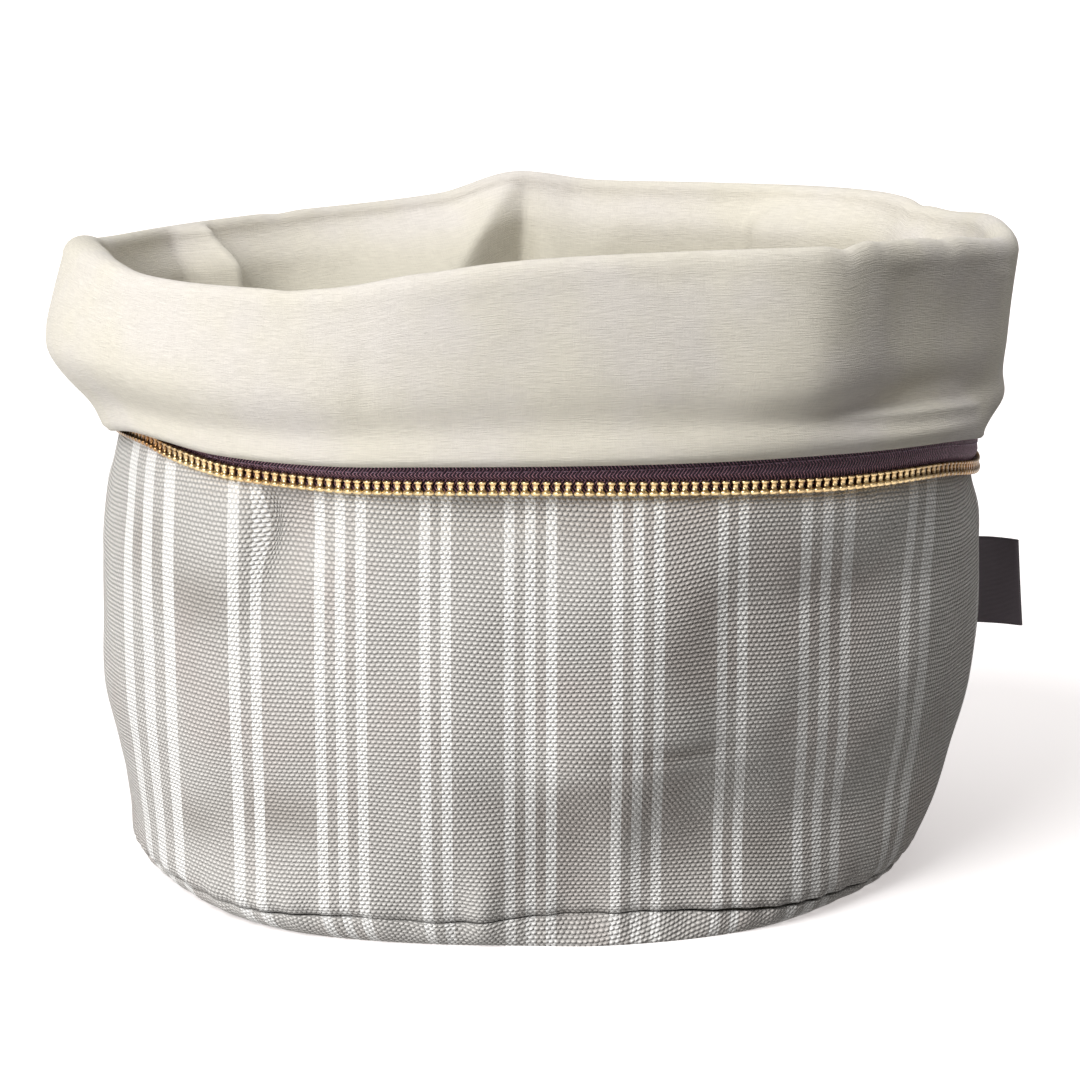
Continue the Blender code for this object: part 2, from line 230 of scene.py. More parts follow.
WALL_CREASES = (
    # angle, spread before, spread after, height, reach below, reach above, depth
    (-39.5, 2.6, 2.0, 0.090, 0.018, 0.012, 0.0009),
    (-36.0, 2.2, 7.5, 0.099, 0.012, 0.007, -0.0034),
    (-6.0, 14.0, 10.0, 0.1015, 0.0045, 0.0050, -0.0024),
    (1.0, 3.0, 4.0, 0.094, 0.012, 0.006, -0.0008),
    (-9.0, 7.0, 5.0, 0.074, 0.026, 0.016, 0.0012),
    (7.0, 9.0, 22.0, 0.022, 0.024, 0.018, -0.0096),
    (-7.0, 3.0, 2.2, 0.010, 0.010, 0.014, 0.0014),
    (13.0, 20.0, 18.0, 0.045, 0.009, 0.026, 0.0018),
    (11.5, 3.0, 3.6, 0.022, 0.026, 0.016, 0.0016),
    (15.0, 5.0, 7.0, 0.079, 0.014, 0.011, 0.0016),
    (24.0, 5.0, 4.0, 0.060, 0.034, 0.026, -0.0009),
    (33.0, 4.0, 5.0, 0.056, 0.026, 0.022, 0.0006),
    (47.0, 4.0, 5.0, 0.074, 0.024, 0.022, -0.0006),
    (60.0, 5.0, 4.0, 0.070, 0.022, 0.018, 0.0008),
    (84.0, 5.0, 5.0, 0.092, 0.006, 0.005, 0.0009),
    (-56.0, 7.0, 6.0, 0.050, 0.030, 0.030, -0.0008),
    (-22.0, 5.0, 5.0, 0.040, 0.024, 0.026, -0.0006),
    (18.0, 12.0, 10.0, 0.0470, 0.0018, 0.0018, -0.0007),
    (-12.0, 2.0, 2.0, 0.010, 0.006, 0.008, -0.0008),
    (-8.0, 2.0, 2.0, 0.011, 0.006, 0.007, 0.0006),
    (110.0, 8.0, 7.0, 0.080, 0.030, 0.018, -0.0010),
    (130.0, 7.0, 6.0, 0.040, 0.026, 0.030, 0.0010),
    (172.0, 5.0, 6.0, 0.070, 0.040, 0.024, -0.0010),
    (-160.0, 6.0, 6.0, 0.050, 0.030, 0.030, 0.0009),
    (-118.0, 7.0, 8.0, 0.086, 0.024, 0.014, -0.0011),
    (-98.0, 7.0, 6.0, 0.050, 0.030, 0.030, -0.0009),
)
WALL_CORNER = (
    # angle, how far the wall stands out from its round
    (-180.0, 0.0),
    (-30.0, 0.0),
    (-14.0, 0.0012),
    (-2.0, 0.0028),
    (6.0, 0.0027),
    (17.0, -0.0008),
    (30.0, -0.0060),
    (42.0, -0.0085),
    (56.0, -0.0076),
    (70.0, -0.0034),
    (82.0, -0.0008),
    (90.0, 0.0),
    (180.0, 0.0),
)
print("canvas:", len(WALL_FOLDS + WALL_CREASES), "folds and creases placed by hand")

# %% [markdown]
# ## Folds of the cotton
# The cuff is softer than the wall and falls in broad, shallow waves, with a pinched corner at the
# front right. The lining's small folds are listed too, each in the same seven columns.

# %% Folds of the cotton
CUFF_FOLDS = (
    (63.0, 20.0, 15.0, 0.138, 0.014, 0.016, -0.0034),
    (-27.0, 13.0, 12.0, 0.150, 0.020, 0.012, -0.0016),
    (34.0, 12.0, 12.0, 0.124, 0.010, 0.016, 0.0014),
    (-150.0, 14.0, 14.0, 0.132, 0.016, 0.018, -0.0030),
    (140.0, 12.0, 14.0, 0.134, 0.016, 0.018, 0.0024),
)
CUFF_CREASES = (
    (54.0, 26.0, 22.0, 0.1235, 0.0026, 0.0060, -0.0026),
    (50.0, 24.0, 22.0, 0.1175, 0.0040, 0.0032, 0.0014),
    (84.0, 8.0, 12.0, 0.1180, 0.0040, 0.0040, 0.0010),
    (47.0, 3.0, 5.0, 0.148, 0.010, 0.020, -0.0008),
    (74.0, 5.0, 4.0, 0.146, 0.014, 0.016, 0.0008),
    (-21.0, 1.2, 1.6, 0.134, 0.010, 0.010, -0.0003),
    (-70.0, 8.0, 8.0, 0.142, 0.014, 0.014, 0.0006),
    (-4.0, 8.0, 8.0, 0.138, 0.014, 0.016, -0.0005),
    (16.0, 7.0, 8.0, 0.142, 0.016, 0.014, 0.0006),
    (118.0, 6.0, 8.0, 0.140, 0.020, 0.014, -0.0010),
    (-118.0, 8.0, 6.0, 0.134, 0.016, 0.016, 0.0010),
    (170.0, 8.0, 8.0, 0.136, 0.018, 0.020, -0.0010),
)
LINING_FOLDS = (
    (136.0, 7.0, 8.0, 0.146, 0.050, 0.022, 0.0040),
    (144.0, 3.0, 3.0, 0.150, 0.016, 0.012, 0.0014),
    (114.0, 7.0, 9.0, 0.148, 0.040, 0.022, 0.0030),
    (124.0, 3.0, 4.0, 0.152, 0.014, 0.008, -0.0010),
    (175.0, 1.3, 1.6, 0.160, 0.004, 0.004, -0.0010),
    (168.0, 5.0, 5.0, 0.150, 0.012, 0.008, 0.0008),
    (40.0, 12.0, 10.0, 0.120, 0.050, 0.030, 0.0030),
    (-60.0, 12.0, 14.0, 0.110, 0.050, 0.030, 0.0030),
    (-30.0, 7.0, 6.0, 0.070, 0.030, 0.030, 0.0016),
    (80.0, 8.0, 6.0, 0.070, 0.040, 0.030, 0.0018),
    (-100.0, 7.0, 7.0, 0.060, 0.040, 0.030, 0.0016),
)
CUFF_CORNER = (
    # angle, how far the cloth stands out
    (-180.0, 0.0),
    (-30.0, 0.0),
    (-10.0, -0.0008),
    (4.0, -0.0014),
    (18.0, -0.0004),
    (28.0, 0.0034),
    (32.5, 0.0045),
    (37.0, 0.0032),
    (48.0, -0.0022),
    (60.0, -0.0034),
    (74.0, -0.0018),
    (90.0, 0.0),
    (180.0, 0.0),
)
print("cotton:", len(CUFF_FOLDS + CUFF_CREASES + LINING_FOLDS), "folds placed by hand")

# %% [markdown]
# ## Adding up the folds
# Each fold is a bell curve in two directions: highest in its middle and gone at its edges, so folds
# can be added where they meet without a step. A small waviness is added all over, because no cloth
# is even. It is a sum of sine waves rather than noise, so it closes up once round the bag.

# %% Adding up the folds
FADED = 12.0  # past this distance a fold's curve is too small to matter


def around(angle):
    """The same direction as an angle from -180 to 180."""
    return (angle + HALF_TURN) % FULL_TURN - HALF_TURN


def swell(folds, angle, height):
    """Sum of a table's soft folds at one place."""
    total = 0.0
    for middle, before, after, centre, below, above, depth in folds:
        turn = around(angle - middle)
        turn /= after if turn > 0 else before
        rise = height - centre
        rise /= above if rise > 0 else below
        together = turn * turn + rise * rise
        if together < FADED:
            total += depth * exp(-together)
    return total


def unevenness(angle, height, strength):
    """A gentle waviness, as in any cloth that has been handled."""
    turn = radians(angle)
    wave = sin(7 * turn + 60 * height + 1.1) + sin(11 * turn - 95 * height + 2.3)
    wave += 0.8 * sin(17 * turn + 130 * height + 0.4) + 0.7 * sin(5 * turn + 170 * height)
    wave += 0.5 * sin(29 * turn - 210 * height + 3.0) + 0.4 * sin(41 * turn + 260 * height + 5.0)
    return strength * wave / 2


print("the wall's deepest crease:", round(min(row[-1] for row in WALL_CREASES) * 1000, 1), "mm")

# %% [markdown]
# ## Reading the tables
# These small functions turn the tables into a radius at any angle and height. Straight lines between
# the rows would show as bands in the cloth, so a smooth curve is drawn through them. In plan the bag
# is a slightly squared oval: the sides are joined by a curve a little fuller than an ellipse.

# %% Reading the tables
def smooth_value(rows, key, column):
    """The column's value at a key, on a smooth curve through the rows of a table."""
    if key <= rows[0][0]:
        return rows[0][column]
    if key >= rows[-1][0]:
        return rows[-1][column]
    after = next(i for i, row in enumerate(rows) if row[0] > key)
    start, end = rows[after - 1], rows[after]
    before = rows[max(after - 2, 0)]
    beyond = rows[min(after + 1, len(rows) - 1)]
    span = end[0] - start[0]
    share = (key - start[0]) / span
    slope_in = (end[column] - before[column]) / (end[0] - before[0]) * span
    slope_out = (beyond[column] - start[column]) / (beyond[0] - start[0]) * span
    square, cube = share**2, share**3
    return (
        (2 * cube - 3 * square + 1) * start[column]
        + (cube - 2 * square + share) * slope_in
        + (3 * square - 2 * cube) * end[column]
        + (cube - square) * slope_out
    )


EDGES_ROUND = [(row[0] + turn,) + row[1:] for turn in (-FULL_TURN, 0.0, FULL_TURN) for row in EDGES]


@lru_cache(maxsize=None)
def edge_height(angle, column):
    """Height of one of the edges that run round the bag."""
    return smooth_value(EDGES_ROUND, around(angle), column)


@lru_cache(maxsize=None)
def four_sides(rows, key):
    """A table's radii at a key: left, front, right, back."""
    return tuple(smooth_value(rows, key, side) for side in (1, 2, 3, 4))


def side_mix(angle, left, front, right, back):
    """Radius at an angle, from the radii on the four sides."""
    across, along = sin(radians(angle)), cos(radians(angle))
    side = right if across > 0 else left
    face = front if along > 0 else back
    powers = (abs(across) / side) ** SQUARENESS + (abs(along) / face) ** SQUARENESS
    return powers ** (-1 / SQUARENESS)


def girth(rows, angle, key):
    return side_mix(angle, *four_sides(rows, key))


def place(angle, radius, height):
    """A point round the bag."""
    return (radius * sin(radians(angle)), -radius * cos(radians(angle)), height)


def ease(share):
    """0 to 1 without a corner at either end."""
    share = min(max(share, 0.0), 1.0)
    return share * share * (3 - 2 * share)


print("girth at mid height:", [round(2000 * r) for r in four_sides(WALL_GIRTH, 0.07)], "mm across")

# %% [markdown]
# ## The wall's and the cuff's surfaces
# The wall swells above the base, is drawn in behind the hem and then leans out into the rolled rim.
# The cuff bells out from its hem, which the zip below it holds off the wall. The zip's pieces lie on
# the solid wall's plainer face, without the small creases, so that they keep an even line. Hidden by
# the cuff, the tape's upper part and, at the left, the hem's back still run into the wall a little.

# %% Surfaces of the wall and the cuff
def cuff_height(angle, rise):
    hem = edge_height(angle, HEM)
    return hem + rise * (edge_height(angle, RIM) - ROLL - hem)


def wall_top(angle):
    return edge_height(angle, RIM) - WALL_BELOW_RIM


def wall_plain(angle, height):
    """The wall's outer face up to the waist, without its small creases."""
    return girth(WALL_GIRTH, angle, height) + swell(WALL_FOLDS, angle, height)


def wall_radius(angle, height):
    """The same, leaning out above the waist to the inside of the rolled rim."""
    if height <= WAIST:
        return wall_plain(angle, height)
    top = cuff_radius(angle, 1.0) - ROLL - WALL_TUCK + WALL_THICK / 2
    share = ease((height - WAIST) / (wall_top(angle) - WAIST))
    return (1 - share) * wall_plain(angle, WAIST) + share * top


@lru_cache(maxsize=None)
def wall_rows(angle):
    """Radius and height of the solid wall's rows, between which its facets run straight."""
    heights = (edge_height(angle, SEAM) + GAP,) + WALL_STEPS
    return [(wall_plain(angle, height), height) for height in heights]


def wall_face(angle, height):
    """Outer face of the solid wall, on which the zip lies."""
    rows = wall_rows(angle)
    above = next((i for i, row in enumerate(rows) if row[1] > height), len(rows) - 1)
    (low_radius, low), (high_radius, high) = rows[max(above - 1, 0)], rows[max(above, 1)]
    share = (height - low) / (high - low)
    return (1 - share) * low_radius + share * high_radius


HEM_FLARE = (
    # angle, how far the hem stands out from the cuff above it
    (-180.0, 0.0),
    (-90.0, 0.0),
    (-60.0, 0.0020),
    (-20.0, 0.0022),
    (20.0, 0.0022),
    (40.0, 0.0032),
    (64.0, 0.0022),
    (80.0, -0.0006),
    (95.0, -0.0010),
    (112.0, -0.0006),
    (140.0, 0.0),
    (180.0, 0.0),
)
FLARE_ENDS = 0.20  # share of the cuff's height over which the flare dies away
FLARE_DIP, FLARE_DIP_AT, FLARE_DIP_REACH = 0.35, 0.24, 0.09  # a slight hollow above it


@lru_cache(maxsize=None)
def cuff_radius(angle, rise):
    """Outer face of the cuff, from its hem at 0 to the rolled rim at 1."""
    height = cuff_height(angle, rise)
    free = girth(CUFF_GIRTH, angle, rise) + rise * swell(CUFF_FOLDS, angle, height)
    free += swell(CUFF_CREASES, angle, height) * ease(rise / 0.08) * ease((1 - rise) / 0.1)
    free += smooth_value(CUFF_CORNER, around(angle), 1) * ease(rise / 0.35)
    free += unevenness(angle, height, 0.00012) * ease(rise / 0.3)
    flare = smooth_value(HEM_FLARE, around(angle), 1)
    free += flare * (1 - ease(rise / FLARE_ENDS))
    free -= FLARE_DIP * flare * exp(-(((rise - FLARE_DIP_AT) / FLARE_DIP_REACH) ** 2))
    wall = wall_face(angle, height)
    pressed = wall + HEM_STAND_OFF * squeeze(angle) + HEM_THICK + flare
    if rise == 0:
        return pressed
    return max(free, pressed if rise < HEM_PRESS else wall + CUFF_CLEAR)


def squeeze(angle):
    """How much of its full thickness the zip keeps: the hem presses it flat at the far left."""
    return 1 - 0.62 * exp(-((around(angle + 94.0) / 18.0) ** 2))


print("cuff at the front:", round((cuff_height(0, 1) - cuff_height(0, 0)) * 1000, 1), "mm from hem to rim")

# %% [markdown]
# ## Making a sheet that runs round the bag
# A sheet of cloth is a closed skin: its outer face, its edge and its inner face. `ring_sheet` takes
# the section at each column and joins neighbours with four-sided faces. A plane with a Solidify
# modifier would give the skin too, but its thickness would push folded cloth through itself, so both
# faces are placed. A map is laid on the cloth as well, in metres along the weft and the warp, so that
# a weave keeps its size everywhere.

# %% Making a sheet that runs round the bag
def new_piece(name, points, faces, finish, node):
    """A mesh object at the origin, riding on the bag and standing for one solid."""
    mesh = bpy.data.meshes.new(name)
    mesh.from_pydata(points, [], faces)
    mesh.materials.append(finish)
    mesh.shade_smooth()
    piece = bpy.data.objects.new(name, mesh)
    bpy.context.collection.objects.link(piece)
    take_place(piece, node)
    return piece


def take_place(piece, node):
    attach(piece, "root")
    if node:
        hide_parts(node)


def face_outwards(piece):
    """Turn all faces of a closed skin outwards."""
    bm = bmesh.new()
    bm.from_mesh(piece.data)
    bmesh.ops.recalc_face_normals(bm, faces=bm.faces)
    bm.to_mesh(piece.data)
    bm.free()


def store_map(mesh, flat):
    """Keep the cloth's own map: two numbers for each corner of each face."""
    layer = mesh.uv_layers.new(name="cloth")
    layer.uv.foreach_set("vector", flat)


def lay_map(mesh, weft, warp, columns, rows):
    """The map of a ring in metres: weft along the way round, warp along the section."""
    turn = weft[-1] + (weft[-1] - weft[-2])
    flat = []
    for polygon in mesh.polygons:
        corners = [divmod(vertex, rows) for vertex in polygon.vertices]
        reached = [corner[0] for corner in corners]
        wraps = max(reached) - min(reached) > columns // 2
        for column, row in corners:
            along = turn if wraps and column == 0 else weft[column]
            flat += (along, warp[row])
    store_map(mesh, flat)


def ring_sheet(name, sections, length, finish, node):
    """Join sections, one a column, into a closed skin that runs round the bag."""
    columns, rows = len(sections), len(sections[0])
    points = [point for section in sections for point in section]
    faces = []
    for column in range(columns):
        near, far = column * rows, (column + 1) % columns * rows
        for row in range(rows):
            above = (row + 1) % rows
            faces.append((near + row, far + row, far + above, near + above))
    piece = new_piece(name, points, faces, finish, node)
    weft = [length * i / columns for i in range(columns)]
    warp = [0.0]
    for low, high in zip(sections[0], sections[0][1:]):
        warp.append(warp[-1] + (Vector(high) - Vector(low)).length)
    lay_map(piece.data, weft, warp, columns, rows)
    face_outwards(piece)
    print(name, "has", 2 * len(faces), "triangles")
    return piece


print("rings can be made")

# %% [markdown]
# ## Nodes for the finishes
# A finish is a small network of nodes. It could be drawn in the shader editor, but written out it
# can be read and changed like a sum. These helpers add one node each and wire it up. The weave is
# worked out from the cloth's own map, so it keeps its size and never blurs.

# %% Helpers for the finishes
def new_finish(name, roughness, metallic=0.0, sheen=0.0):
    finish = bpy.data.materials.new(name)
    finish.use_nodes = True
    shader = finish.node_tree.nodes["Principled BSDF"]
    shader.inputs["Roughness"].default_value = roughness
    shader.inputs["Metallic"].default_value = metallic
    shader.inputs["Sheen Weight"].default_value = sheen
    shader.inputs["Sheen Roughness"].default_value = 0.5
    return finish, finish.node_tree, shader


def wire(tree, value, socket):
    """Give a socket a number, a colour or another node's output."""
    if isinstance(value, bpy.types.NodeSocket):
        tree.links.new(value, socket)
    else:
        socket.default_value = value


def maths(tree, operation, *values):
    node = tree.nodes.new("ShaderNodeMath")
    node.operation = operation
    for value, socket in zip(values, node.inputs):
        wire(tree, value, socket)
    return node.outputs[0]


def between(tree, value, low, high):
    """0 below low, 1 above high, smooth between."""
    node = tree.nodes.new("ShaderNodeMapRange")
    node.interpolation_type = "SMOOTHSTEP"
    wire(tree, value, node.inputs["Value"])
    node.inputs["From Min"].default_value = low
    node.inputs["From Max"].default_value = high
    return node.outputs["Result"]


def mixed(tree, share, first, second, blend="MIX"):
    node = tree.nodes.new("ShaderNodeMix")
    node.data_type = "RGBA"
    node.blend_type = blend
    wire(tree, share, node.inputs["Factor"])
    wire(tree, first, node.inputs[6])
    wire(tree, second, node.inputs[7])
    return node.outputs[2]


def noise(tree, place_on, scale, detail=2.0, roughness=0.5):
    node = tree.nodes.new("ShaderNodeTexNoise")
    wire(tree, place_on, node.inputs["Vector"])
    node.inputs["Scale"].default_value = scale
    node.inputs["Detail"].default_value = detail
    node.inputs["Roughness"].default_value = roughness
    return node.outputs["Fac"]


def stretched(tree, vector, size):
    """The same place, with each direction stretched by its own number."""
    node = tree.nodes.new("ShaderNodeMapping")
    wire(tree, vector, node.inputs["Vector"])
    node.inputs["Scale"].default_value = size
    return node.outputs["Vector"]


def cloth_map(tree):
    """The cloth's own map: the whole vector, then weft and warp in metres."""
    node = tree.nodes.new("ShaderNodeUVMap")
    node.uv_map = "cloth"
    apart = tree.nodes.new("ShaderNodeSeparateXYZ")
    tree.links.new(node.outputs["UV"], apart.inputs[0])
    return node.outputs["UV"], apart.outputs["X"], apart.outputs["Y"]


def object_place(tree):
    return tree.nodes.new("ShaderNodeTexCoord").outputs["Object"]


def named_value(tree, name):
    node = tree.nodes.new("ShaderNodeAttribute")
    node.attribute_name = name
    return node.outputs["Fac"]


def raise_surface(tree, shader, height, distance, strength=1.0):
    node = tree.nodes.new("ShaderNodeBump")
    node.inputs["Distance"].default_value = distance
    node.inputs["Strength"].default_value = strength
    wire(tree, height, node.inputs["Height"])
    tree.links.new(node.outputs["Normal"], shader.inputs["Normal"])


def plain_weave(tree, weft, warp, weft_pitch, warp_pitch):
    """Height of the threads: 1 on top of each float, 0 in the gaps, floats in brick order."""
    row = maths(tree, "DIVIDE", warp, warp_pitch)
    shift = maths(tree, "MULTIPLY", maths(tree, "FLOORED_MODULO", maths(tree, "FLOOR", row), 2.0), 0.5)
    column = maths(tree, "ADD", maths(tree, "DIVIDE", weft, weft_pitch), shift)
    across = maths(tree, "MULTIPLY_ADD", maths(tree, "FRACT", column), 2.0, -1.0)
    along = maths(tree, "MULTIPLY_ADD", maths(tree, "FRACT", row), 2.0, -1.0)
    across = maths(tree, "MULTIPLY", maths(tree, "MULTIPLY", across, across), 0.80)
    along = maths(tree, "MULTIPLY", along, along)
    left_over = maths(tree, "SUBTRACT", maths(tree, "SUBTRACT", 1.0, across), along)
    return maths(tree, "MAXIMUM", left_over, 0.0)


print("node helpers are ready")

# %% [markdown]
# ## Stripes round the bag
# White stripes come in threes and in pairs by turns. They are counted from a line near the front and
# run the same both ways from it. A texture laid on from the front would smear on the sides, so each
# point of the cloth carries its place in that count as a value named `stripe`, and the stripes
# follow the cloth through its folds.

# %% Stripes round the bag
STRIPE_COUNT = (
    # angle, count of stripe widths from the middle line (- to the left)
    (-174.5, -100.0),
    (-168.5, -94.5),
    (-90.5, -52.5),
    (-86.9, -51.5),
    (-82.0, -48.5),
    (-65.6, -43.5),
    (-51.9, -38.5),
    (-41.8, -33.5),
    (-36.7, -30.5),
    (-29.0, -25.5),
    (-22.0, -20.5),
    (-15.1, -15.5),
    (-11.1, -12.5),
    (-4.5, -7.5),
    (2.1, -2.5),
    (9.0, 2.5),
    (15.6, 7.5),
    (22.5, 12.5),
    (26.6, 15.5),
    (34.0, 20.5),
    (42.3, 25.5),
    (52.4, 30.5),
    (59.3, 33.5),
    (82.0, 38.5),
    (90.0, 43.5),
    (101.6, 48.5),
    (106.4, 51.5),
    (180.0, 97.0),
    (185.5, 100.0),
)
COUNT_STARTS = STRIPE_COUNT[0][0]
UPRIGHT_LOW, UPRIGHT_TOP = 0.008, 0.106  # the heights between which threads are stood upright
WIDEST = 0.070


def stripe_count(angle):
    """Stripe widths from the middle line, the same both ways."""
    angle = around(angle)
    if angle < COUNT_STARTS:
        angle += FULL_TURN
    return abs(smooth_value(STRIPE_COUNT, angle, 1))


def upright(angle, height):
    """Where a thread that stands at an angle at mid height stands at another height.

    The cut is shaped so that the threads stay upright as the bag narrows to its base, and they pass
    over the folds without leaning.
    """
    angle = around(angle)
    across = abs(sin(radians(angle)))
    level = min(max(height, UPRIGHT_LOW), UPRIGHT_TOP)
    turned = angle
    for _ in range(2):
        ratio = girth(WALL_GIRTH, angle, WIDEST) / wall_surface(turned, level)
        power = min(10.0, 0.9 * ratio / max(ratio - 1, 0.01))
        turned = degrees(asin(min(1.0, across * ratio - (ratio - 1) * across**power)))
        if abs(angle) > 90:
            turned = HALF_TURN - turned
        turned = turned if angle >= 0 else -turned
    return turned


def carry_value(piece, name, values):
    """Keep one number for each point, under a name that a finish can read."""
    store = piece.data.attributes.new(name, "FLOAT", "POINT")
    store.data.foreach_set("value", values)


def carry_stripes(piece, sections, angles):
    """Give each column's points its stripe count, and 0 to a disc's two middle points."""
    values = []
    for angle in angles:
        values += [stripe_count(angle)] * len(sections[0])
    values += [0.0] * (len(piece.data.vertices) - len(values))
    carry_value(piece, "stripe", values)


def carry_stains_and_shade(piece):
    """Give each point how brown it is, from the table of stains and painted shade."""
    values = []
    for vertex in piece.data.vertices:
        x, y, z = vertex.co
        values.append(min(1.0, swell(STAINS_AND_SHADE, degrees(atan2(x, -y)), z)))
    carry_value(piece, "stain_and_shade", values)


print("stripe count at the right side:", round(stripe_count(90), 1))

# %% [markdown]
# ## Canvas finish
# Duck has a thick weft, so its floats stand up as small bumps in brick order, about 1.3 mm apart.
# Modelled threads would be far too many, so the weave is worked out as a height: it raises the floats
# as bump and paints shade into the gaps between them, so the floats look lighter than the gaps. Noise
# bends the threads a little. The ground is a mottled grey, the stripes are bleached white, and the
# brown of stains and of painted shade goes on the ground only.

# %% Canvas finish
FLOAT_LONG, FLOAT_TALL = 0.0013333, 0.00102
CANVAS_GREY = (0.690, 0.664, 0.628, 1)
CANVAS_MOTTLE = (0.645, 0.595, 0.558, 1)
STAIN_AND_SHADE_BROWN = (0.34, 0.30, 0.262, 1)
STRIPE_WHITE = (1.0, 0.982, 0.950, 1)
REPEAT = 18.0  # stripe widths from one group of three to the next


def canvas_finish(name):
    finish, tree, shader = new_finish(name, roughness=0.90, sheen=0.06)
    cloth, weft, warp = cloth_map(tree)
    spot = object_place(tree)
    wander = maths(tree, "SUBTRACT", noise(tree, spot, 520.0, 2.0), 0.5)
    bend = maths(tree, "SUBTRACT", noise(tree, spot, 17.0, 1.0), 0.5)
    warp_now = maths(tree, "MULTIPLY_ADD", bend, 0.0070, warp)
    warp_now = maths(tree, "MULTIPLY_ADD", wander, 0.00040, warp_now)
    weft_now = maths(tree, "MULTIPLY_ADD", wander, 0.00060, weft)
    floats = plain_weave(tree, weft_now, warp_now, FLOAT_LONG, FLOAT_TALL)

    count = maths(tree, "SUBTRACT", named_value(tree, "stripe"), 2.5)
    count = maths(tree, "FLOORED_MODULO", count, REPEAT)
    odd = maths(tree, "LESS_THAN", maths(tree, "MODULO", count, 2.0), 1.0)
    three = maths(tree, "LESS_THAN", count, 5.0)
    past = maths(tree, "GREATER_THAN", count, 10.0)
    two = maths(tree, "MULTIPLY", past, maths(tree, "LESS_THAN", count, 13.0))
    white = maths(tree, "MULTIPLY", odd, maths(tree, "ADD", three, two))

    mottle = between(tree, noise(tree, spot, 26.0, 3.0, 0.6), 0.42, 0.68)
    ground = mixed(tree, mottle, CANVAS_GREY, CANVAS_MOTTLE)
    # the ground is browned by stains and by painted shade
    ground = mixed(tree, named_value(tree, "stain_and_shade"), ground, STAIN_AND_SHADE_BROWN)
    colour = mixed(tree, white, ground, STRIPE_WHITE)
    thread = noise(tree, stretched(tree, cloth, (900, 1300, 1)), 1.0, 1.0)
    # painted shade: the weave's gaps are darkened in the colour, and its floats are left lighter
    painted_weave_shade = between(tree, floats, -0.15, 0.80)
    tone = maths(tree, "MULTIPLY_ADD", painted_weave_shade, 0.48, 0.66)
    tone = maths(tree, "MULTIPLY", tone, maths(tree, "MULTIPLY_ADD", thread, 0.20, 0.88))
    # the white stripes get less of this painted shade in their gaps
    stripe_shade_lift = maths(tree, "MULTIPLY", white, maths(tree, "MULTIPLY_ADD", tone, -0.45, 0.45))
    tone = maths(tree, "ADD", tone, stripe_shade_lift)
    wire(tree, mixed(tree, 1.0, colour, tone, "MULTIPLY"), shader.inputs["Base Color"])
    height = maths(tree, "MULTIPLY_ADD", wander, 0.3, floats)
    raise_surface(tree, shader, height, 0.00060, 1.0)
    return finish


canvas = canvas_finish("duck_canvas_striped")
print("canvas finish has", len(canvas.node_tree.nodes), "nodes")

# %% [markdown]
# ## The canvas wall
# The wall is a strip of canvas closed by a side seam on the right, where the label is caught. It
# could be a cylinder shaped with proportional editing, but then its folds couldn't be measured, so
# it is one ring of 480 columns on the tables' surface. Its rows are close together where it shows
# and wider apart behind the cuff, and its lower edge curls under at the seam with the base.

# %% The canvas wall
COLUMNS = 480
SIDE_SEAM = 92.0
WALL_ROW = 0.00150
HIDDEN_ROWS = 7
TURN_UNDER = 0.0022  # the lower edge curls in over this height
LOWEST_SEAM, SHOWN_TOP = 0.0035, 0.1125  # between these the wall shows
CREASE_TOP, CREASE_FADE = 0.1035, 0.006  # small creases die away under the zip
CORNER_TOP, CORNER_FADE, CORNER_RISE = 0.1030, 0.026, 0.030
PUCKER, PUCKER_REACH = 0.00045, 0.004  # gathers along the base seam


def side_seam(angle):
    """A narrow groove between two low welts."""
    away = around(angle - SIDE_SEAM) * 1.85
    return 0.00025 * exp(-((abs(away) - 1.7) / 0.9) ** 2) - 0.0007 * exp(-(away / 0.6) ** 2)


# Most rows are stains. The rows at angles 1 and 26 are painted shade on the dented lower front and the lower
# right; the row at angle 2 darkens the canvas just under the zip.
STAINS_AND_SHADE = (
    # angle, spread before, spread after, height, reach below, reach above, strength
    (-46.0, 9.0, 7.0, 0.079, 0.008, 0.008, 0.55),
    (-60.0, 6.0, 8.0, 0.090, 0.010, 0.008, 0.42),
    (-36.0, 10.0, 9.0, 0.030, 0.007, 0.007, 0.55),
    (-52.0, 8.0, 6.0, 0.024, 0.005, 0.006, 0.42),
    (17.0, 10.0, 10.0, 0.047, 0.0018, 0.0018, 0.60),
    (1.0, 7.0, 14.0, 0.036, 0.018, 0.006, 0.34),
    (26.0, 12.0, 16.0, 0.024, 0.014, 0.014, 0.22),
    (20.0, 6.0, 5.0, 0.066, 0.012, 0.012, 0.18),
    (36.0, 7.0, 5.0, 0.020, 0.008, 0.006, 0.30),
    (2.0, 4.0, 5.0, 0.100, 0.006, 0.004, 0.24),
    (40.0, 5.0, 5.0, 0.085, 0.014, 0.010, 0.18),
    (130.0, 12.0, 10.0, 0.060, 0.010, 0.012, 0.25),
    (-140.0, 12.0, 10.0, 0.040, 0.010, 0.012, 0.25),
)


def wall_surface(angle, height):
    """Outer face of the canvas, with all its creases."""
    low = edge_height(angle, SEAM)
    under_zip = ease((CREASE_TOP - height) / CREASE_FADE)
    free = wall_radius(angle, height)
    free += under_zip * (unevenness(angle, height, 0.00030) + side_seam(angle))
    if height < UPRIGHT_TOP:
        free += swell(WALL_CREASES, angle, height)
    corner = smooth_value(WALL_CORNER, around(angle), 1)
    free += corner * ease((CORNER_TOP - height) / CORNER_FADE) * ease(height / CORNER_RISE)
    pucker = PUCKER * sin(radians(angle) * 61 + 2 * sin(radians(angle) * 9))
    near_seam = exp(-((height - low) / PUCKER_REACH) ** 2)
    curl = max(0.0, 1 - (height - low) / TURN_UNDER)
    return free + pucker * near_seam - 0.0011 * curl * curl


